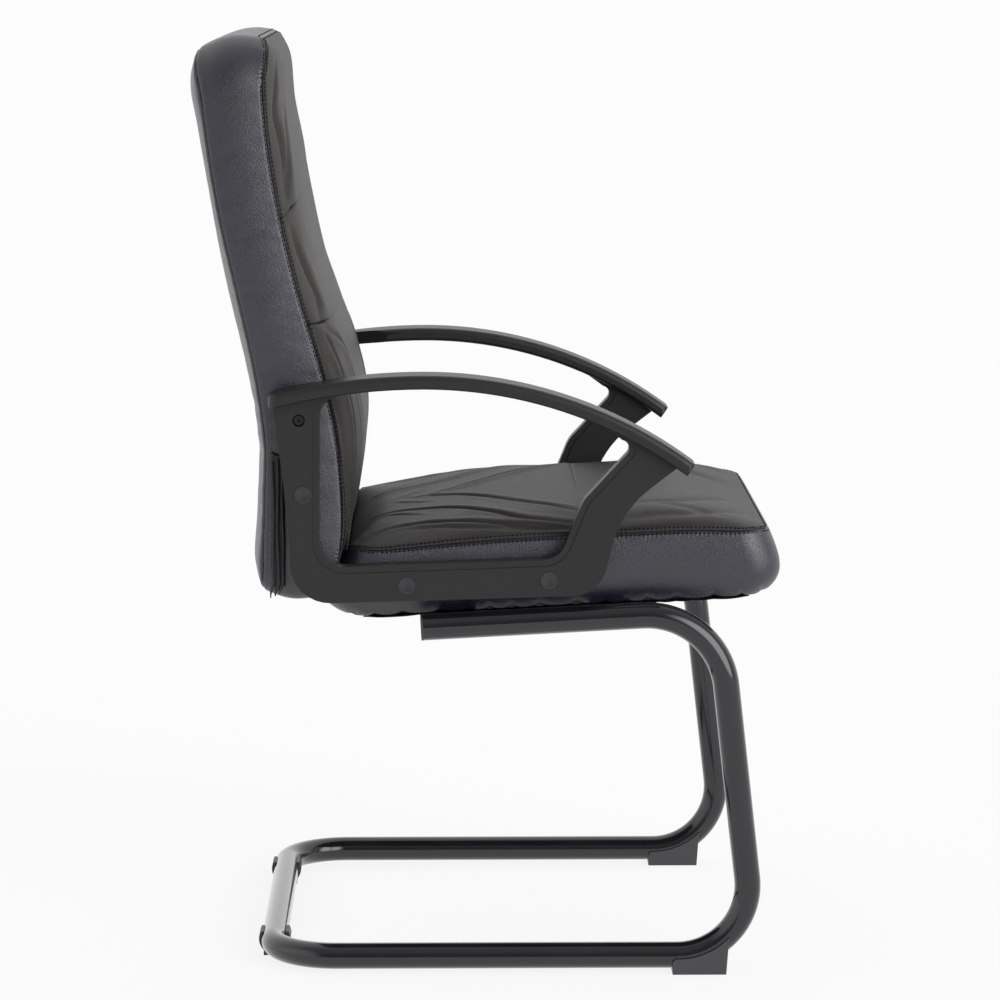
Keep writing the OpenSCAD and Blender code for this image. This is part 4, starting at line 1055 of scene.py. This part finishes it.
SHEET_COLS, SHEET_ROWS = 104, 96
bm = bmesh.new()
grid = {}
for j in range(SHEET_ROWS + 1):
    for i in range(SHEET_COLS + 1):
        x, s, h = sheet_point(np.float64(2 * i / SHEET_COLS - 1),
                              np.float64(2 * j / SHEET_ROWS - 1))
        grid[i, j] = bm.verts.new(on_seat(np.array([x, s, h])))
for j in range(SHEET_ROWS):
    for i in range(SHEET_COLS):
        bm.faces.new((grid[i, j], grid[i, j + 1], grid[i + 1, j + 1], grid[i + 1, j]))
for px in (-BOLT_X, BOLT_X):
    for ps in PLATES:
        middle = Vector(on_seat(np.array([px, ps, 10.4])))
        pierced = [f for f in bm.faces if (f.calc_center_median() - middle).length < 6 * MM]
        bmesh.ops.delete(bm, geom=pierced, context="FACES")
sheet_mesh = bpy.data.meshes.new("dust_sheet")
sheet_area = sum(f.calc_area() for f in bm.faces)
bm.to_mesh(sheet_mesh)
bm.free()
painted(sheet_mesh, cloth)
sheet = in_scene("dust_sheet", sheet_mesh)
thicken(sheet, 0.35 * MM, 0)
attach(sheet, "root")
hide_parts("seat_dust_cover")


def swept(bm, path, across, out, wide, thick):
    """A closed strip of oval section along a path of points."""
    wide, thick = (np.broadcast_to(size, len(path)) for size in (wide, thick))
    rings = []
    for p, w, t in zip(path, wide, thick):
        turn = np.arange(8) * math.pi / 4
        ring = p + (np.cos(turn)[:, None] * across * w + np.sin(turn)[:, None] * out * t) / 2
        rings.append([bm.verts.new(q) for q in ring])
    for low, high in zip(rings, rings[1:]):
        for k in range(8):
            m = (k + 1) % 8
            bm.faces.new((low[k], low[m], high[m], high[k]))
    bm.faces.new(rings[0][::-1])
    bm.faces.new(rings[-1])


def strips(name, material, draw):
    """A piece drawn into a bmesh, its faces turned outward."""
    bm = bmesh.new()
    draw(bm)
    bmesh.ops.recalc_face_normals(bm, faces=bm.faces)
    mesh = bpy.data.meshes.new(name)
    bm.to_mesh(mesh)
    bm.free()
    painted(mesh, material)
    mesh.shade_smooth()
    piece = in_scene(name, mesh)
    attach(piece, "root")
    return piece


def draw_hem(bm):
    """The folded edge of the leather, seen as a dark uneven line under the border."""
    a = np.linspace(-1, 1, 160)
    for sx in (-1, 1):
        x, s = rounded_plan(np.full(160, sx * 1.0), a, 228, -284, 143, 30, 30)
        deep = clear_of_plates(s)
        puff = 0.5 + 0.5 * np.abs(np.sin(s / 9 + 2 * np.sin(s / 31)))
        thick = (1.8 + 2.2 * deep * puff) * MM
        path = on_seat(np.stack([x, s, 11.4 - 0.35 * thick / MM], -1))
        swept(bm, path, np.array([1.0, 0, 0]), np.array([0, 0, 1.0]), 9 * MM, thick)


strips("seat_hem", leathers["border_leather"], draw_hem)

steel_wire = metal_finish("staple_wire", (0.42, 0.42, 0.43), 0.35)
staple_rows, LENGTH, WIDTH = stitch_tree(steel_wire)
sheet_tree = BVHTree.FromObject(sheet, bpy.context.evaluated_depsgraph_get())
whole, most, one = np.linspace(-1, 1, 40), np.linspace(-0.9, 0.9, 40), np.ones(40)
staples = []
for a, b in ((-one, whole), (one, whole), (most, -one), (most, one)):
    x, s = rounded_plan(a, b, SHEET_HALF - 10, SHEET_FRONT + 10, SHEET_REAR - 10, 34, 34)
    path = dense(on_seat(np.stack([x, s, np.full(40, 9.0)], -1)))
    staples.append(stitch_places(sheet_tree, path, 0.0, path[0], pitch=32 * MM))
laid_out("dust_sheet_staples", staples, staple_rows, {LENGTH: 11 * MM, WIDTH: 0.7 * MM})


# Closing of the back's cover.
# Low on each side of the back a zip is hidden between two turned leather edges. Its woven
# tape and the edges show as three dark strips, bunched at the top and loose at the bottom.

woven, tree, shader = finish("zip_tape", (0.02, 0.02, 0.022), 0.6)
weave = add(tree, "TexWave", Vector=place(tree), bands_direction="Z", Scale=260.0,
            Distortion=1.0)
bumped(tree, shader, (weave, 0.0003, 0.6))
tree.links.new(mixed(tree, weave, (0.008, 0.008, 0.009), (0.03, 0.03, 0.033)),
               shader.inputs["Base Color"])


def draw_zips(bm):
    along, out = np.array([0, 1.0, 0]), np.array([1.0, 0, 0])
    h = np.linspace(38, 176, 70)
    for sx in (-1, 1):
        swept(bm, on_back(sx * 241.9, 223.0, h), along, out, 14 * MM, 1.0 * MM)
        for k, (y, wide, thick) in enumerate(((218.6, 3.6, 3.0), (223.6, 4.4, 3.6),
                                              (228.4, 3.2, 2.8))):
            low = np.linspace(30 - 2 * k, 177 - 3 * k, 90)
            wander = 0.5 * np.sin(low / 17 + 2 * k) + 3.5 * smooth((44 - low) / 16)
            cord = on_back(sx * 243.1, y + wander, low)
            puff = 1 + 0.12 * np.sin(low / 6 + k) - 0.6 * smooth((36 - low) / 8)
            swept(bm, cord, along, out, wide * puff * MM, thick * puff * MM)
        y = np.linspace(215.5, 230, 12)
        fold = on_back(sx * 243.4, y, 177 + 1.5 * np.sin(y / 2))
        swept(bm, fold, np.array([0, 0, 1.0]), out, 5 * MM, 3 * MM)


zips = strips("back_zip_closing", woven, draw_zips)
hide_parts("back_zip_tapes")


# Studio.
# A white sweep, a broad soft light overhead and white all round, as in a catalogue picture.


def rays(tree):
    """Whether a ray comes from the camera, and whether it comes off or through a surface."""
    path = tree.nodes.new("ShaderNodeLightPath")
    return path.outputs["Is Camera Ray"], worked(
        tree, "MAXIMUM", path.outputs["Is Glossy Ray"], path.outputs["Is Transmission Ray"])


bpy.context.scene.view_settings.view_transform = "Standard"
world = bpy.data.worlds.new("white_room")
bpy.context.scene.world = world
world.use_nodes = True
tree = world.node_tree
glow = tree.nodes["Background"]
glow.inputs["Color"].default_value = (1, 1, 1, 1)
toward = add(tree, "TexCoord", out=0)
across = add(tree, "SeparateXYZ", Vector=toward, out=0)
upward = add(tree, "SeparateXYZ", Vector=toward, out=2)
ahead = ranged(tree, across, 0.0, 1.0, -0.5, 0.5, "SMOOTHSTEP")
above = ranged(tree, upward, 0.0, 0.4, 0.25, 0.8, "SMOOTHSTEP")
bright = worked(tree, "MAXIMUM", ahead, above)


def soft_light(direction, strength, start, end):
    """A round soft light on the room's wall, from start to end of the cosine to it."""
    cosine = add(tree, "VectorMath", operation="DOT_PRODUCT", _0=toward, _1=direction, out=1)
    return ranged(tree, cosine, 0.0, strength, start, end, "SMOOTHSTEP")


lights = worked(tree, "ADD", soft_light((-0.7, -0.66, 0.27), 4.4, 0.84, 0.96),
                soft_light((-0.4, 0.91, 0.1), 1.0, 0.7, 0.95))
direct, mirrored = rays(tree)
seen = worked(tree, "MAXIMUM", direct, worked(tree, "MULTIPLY", mirrored, ahead))
room = worked(tree, "ADD", ranged(tree, bright, 0.18, 0.85), lights)
tree.links.new(add(tree, "Mix", _0=seen, _2=room, _3=1.0), glow.inputs["Strength"])

FLOOR = 300
corners = ((-1, -1), (1, -1), (1, 1), (-1, 1))
floor_mesh = bpy.data.meshes.new("floor")
floor_mesh.from_pydata([(FLOOR * x, FLOOR * y, 0) for x, y in corners], [], [(0, 1, 2, 3)])
in_scene("floor", floor_mesh)
floor_paint, tree, shader = finish("floor_paint", (0.95, 0.95, 0.95), 1.0,
                                   Specular_IOR_Level=0.0)
direct, mirrored = rays(tree)
seen = worked(tree, "MAXIMUM", direct, mirrored)
blend = add(tree, "MixShader", _0=worked(tree, "MULTIPLY", seen, 0.85), _1=shader.outputs[0],
            _2=add(tree, "Emission", Strength=1.0))
tree.links.new(blend, tree.nodes["Material Output"].inputs["Surface"])
floor_mesh.materials.append(floor_paint)

camera_data = bpy.data.cameras.new("camera")
camera = in_scene("camera", camera_data)
bpy.context.scene.camera = camera
camera_data.sensor_width = 36
camera_data.lens = 4024.28 * camera_data.sensor_width / 1000
camera_data.clip_end = 700
camera.location = (-4.4316, 0.0431, 1.08907)
PAN, TILT = 0.01384, 0.13838
forward = Vector((math.cos(TILT) * math.cos(PAN), -math.cos(TILT) * math.sin(PAN),
                  -math.sin(TILT)))
camera.rotation_euler = forward.to_track_quat("-Z", "Y").to_euler()
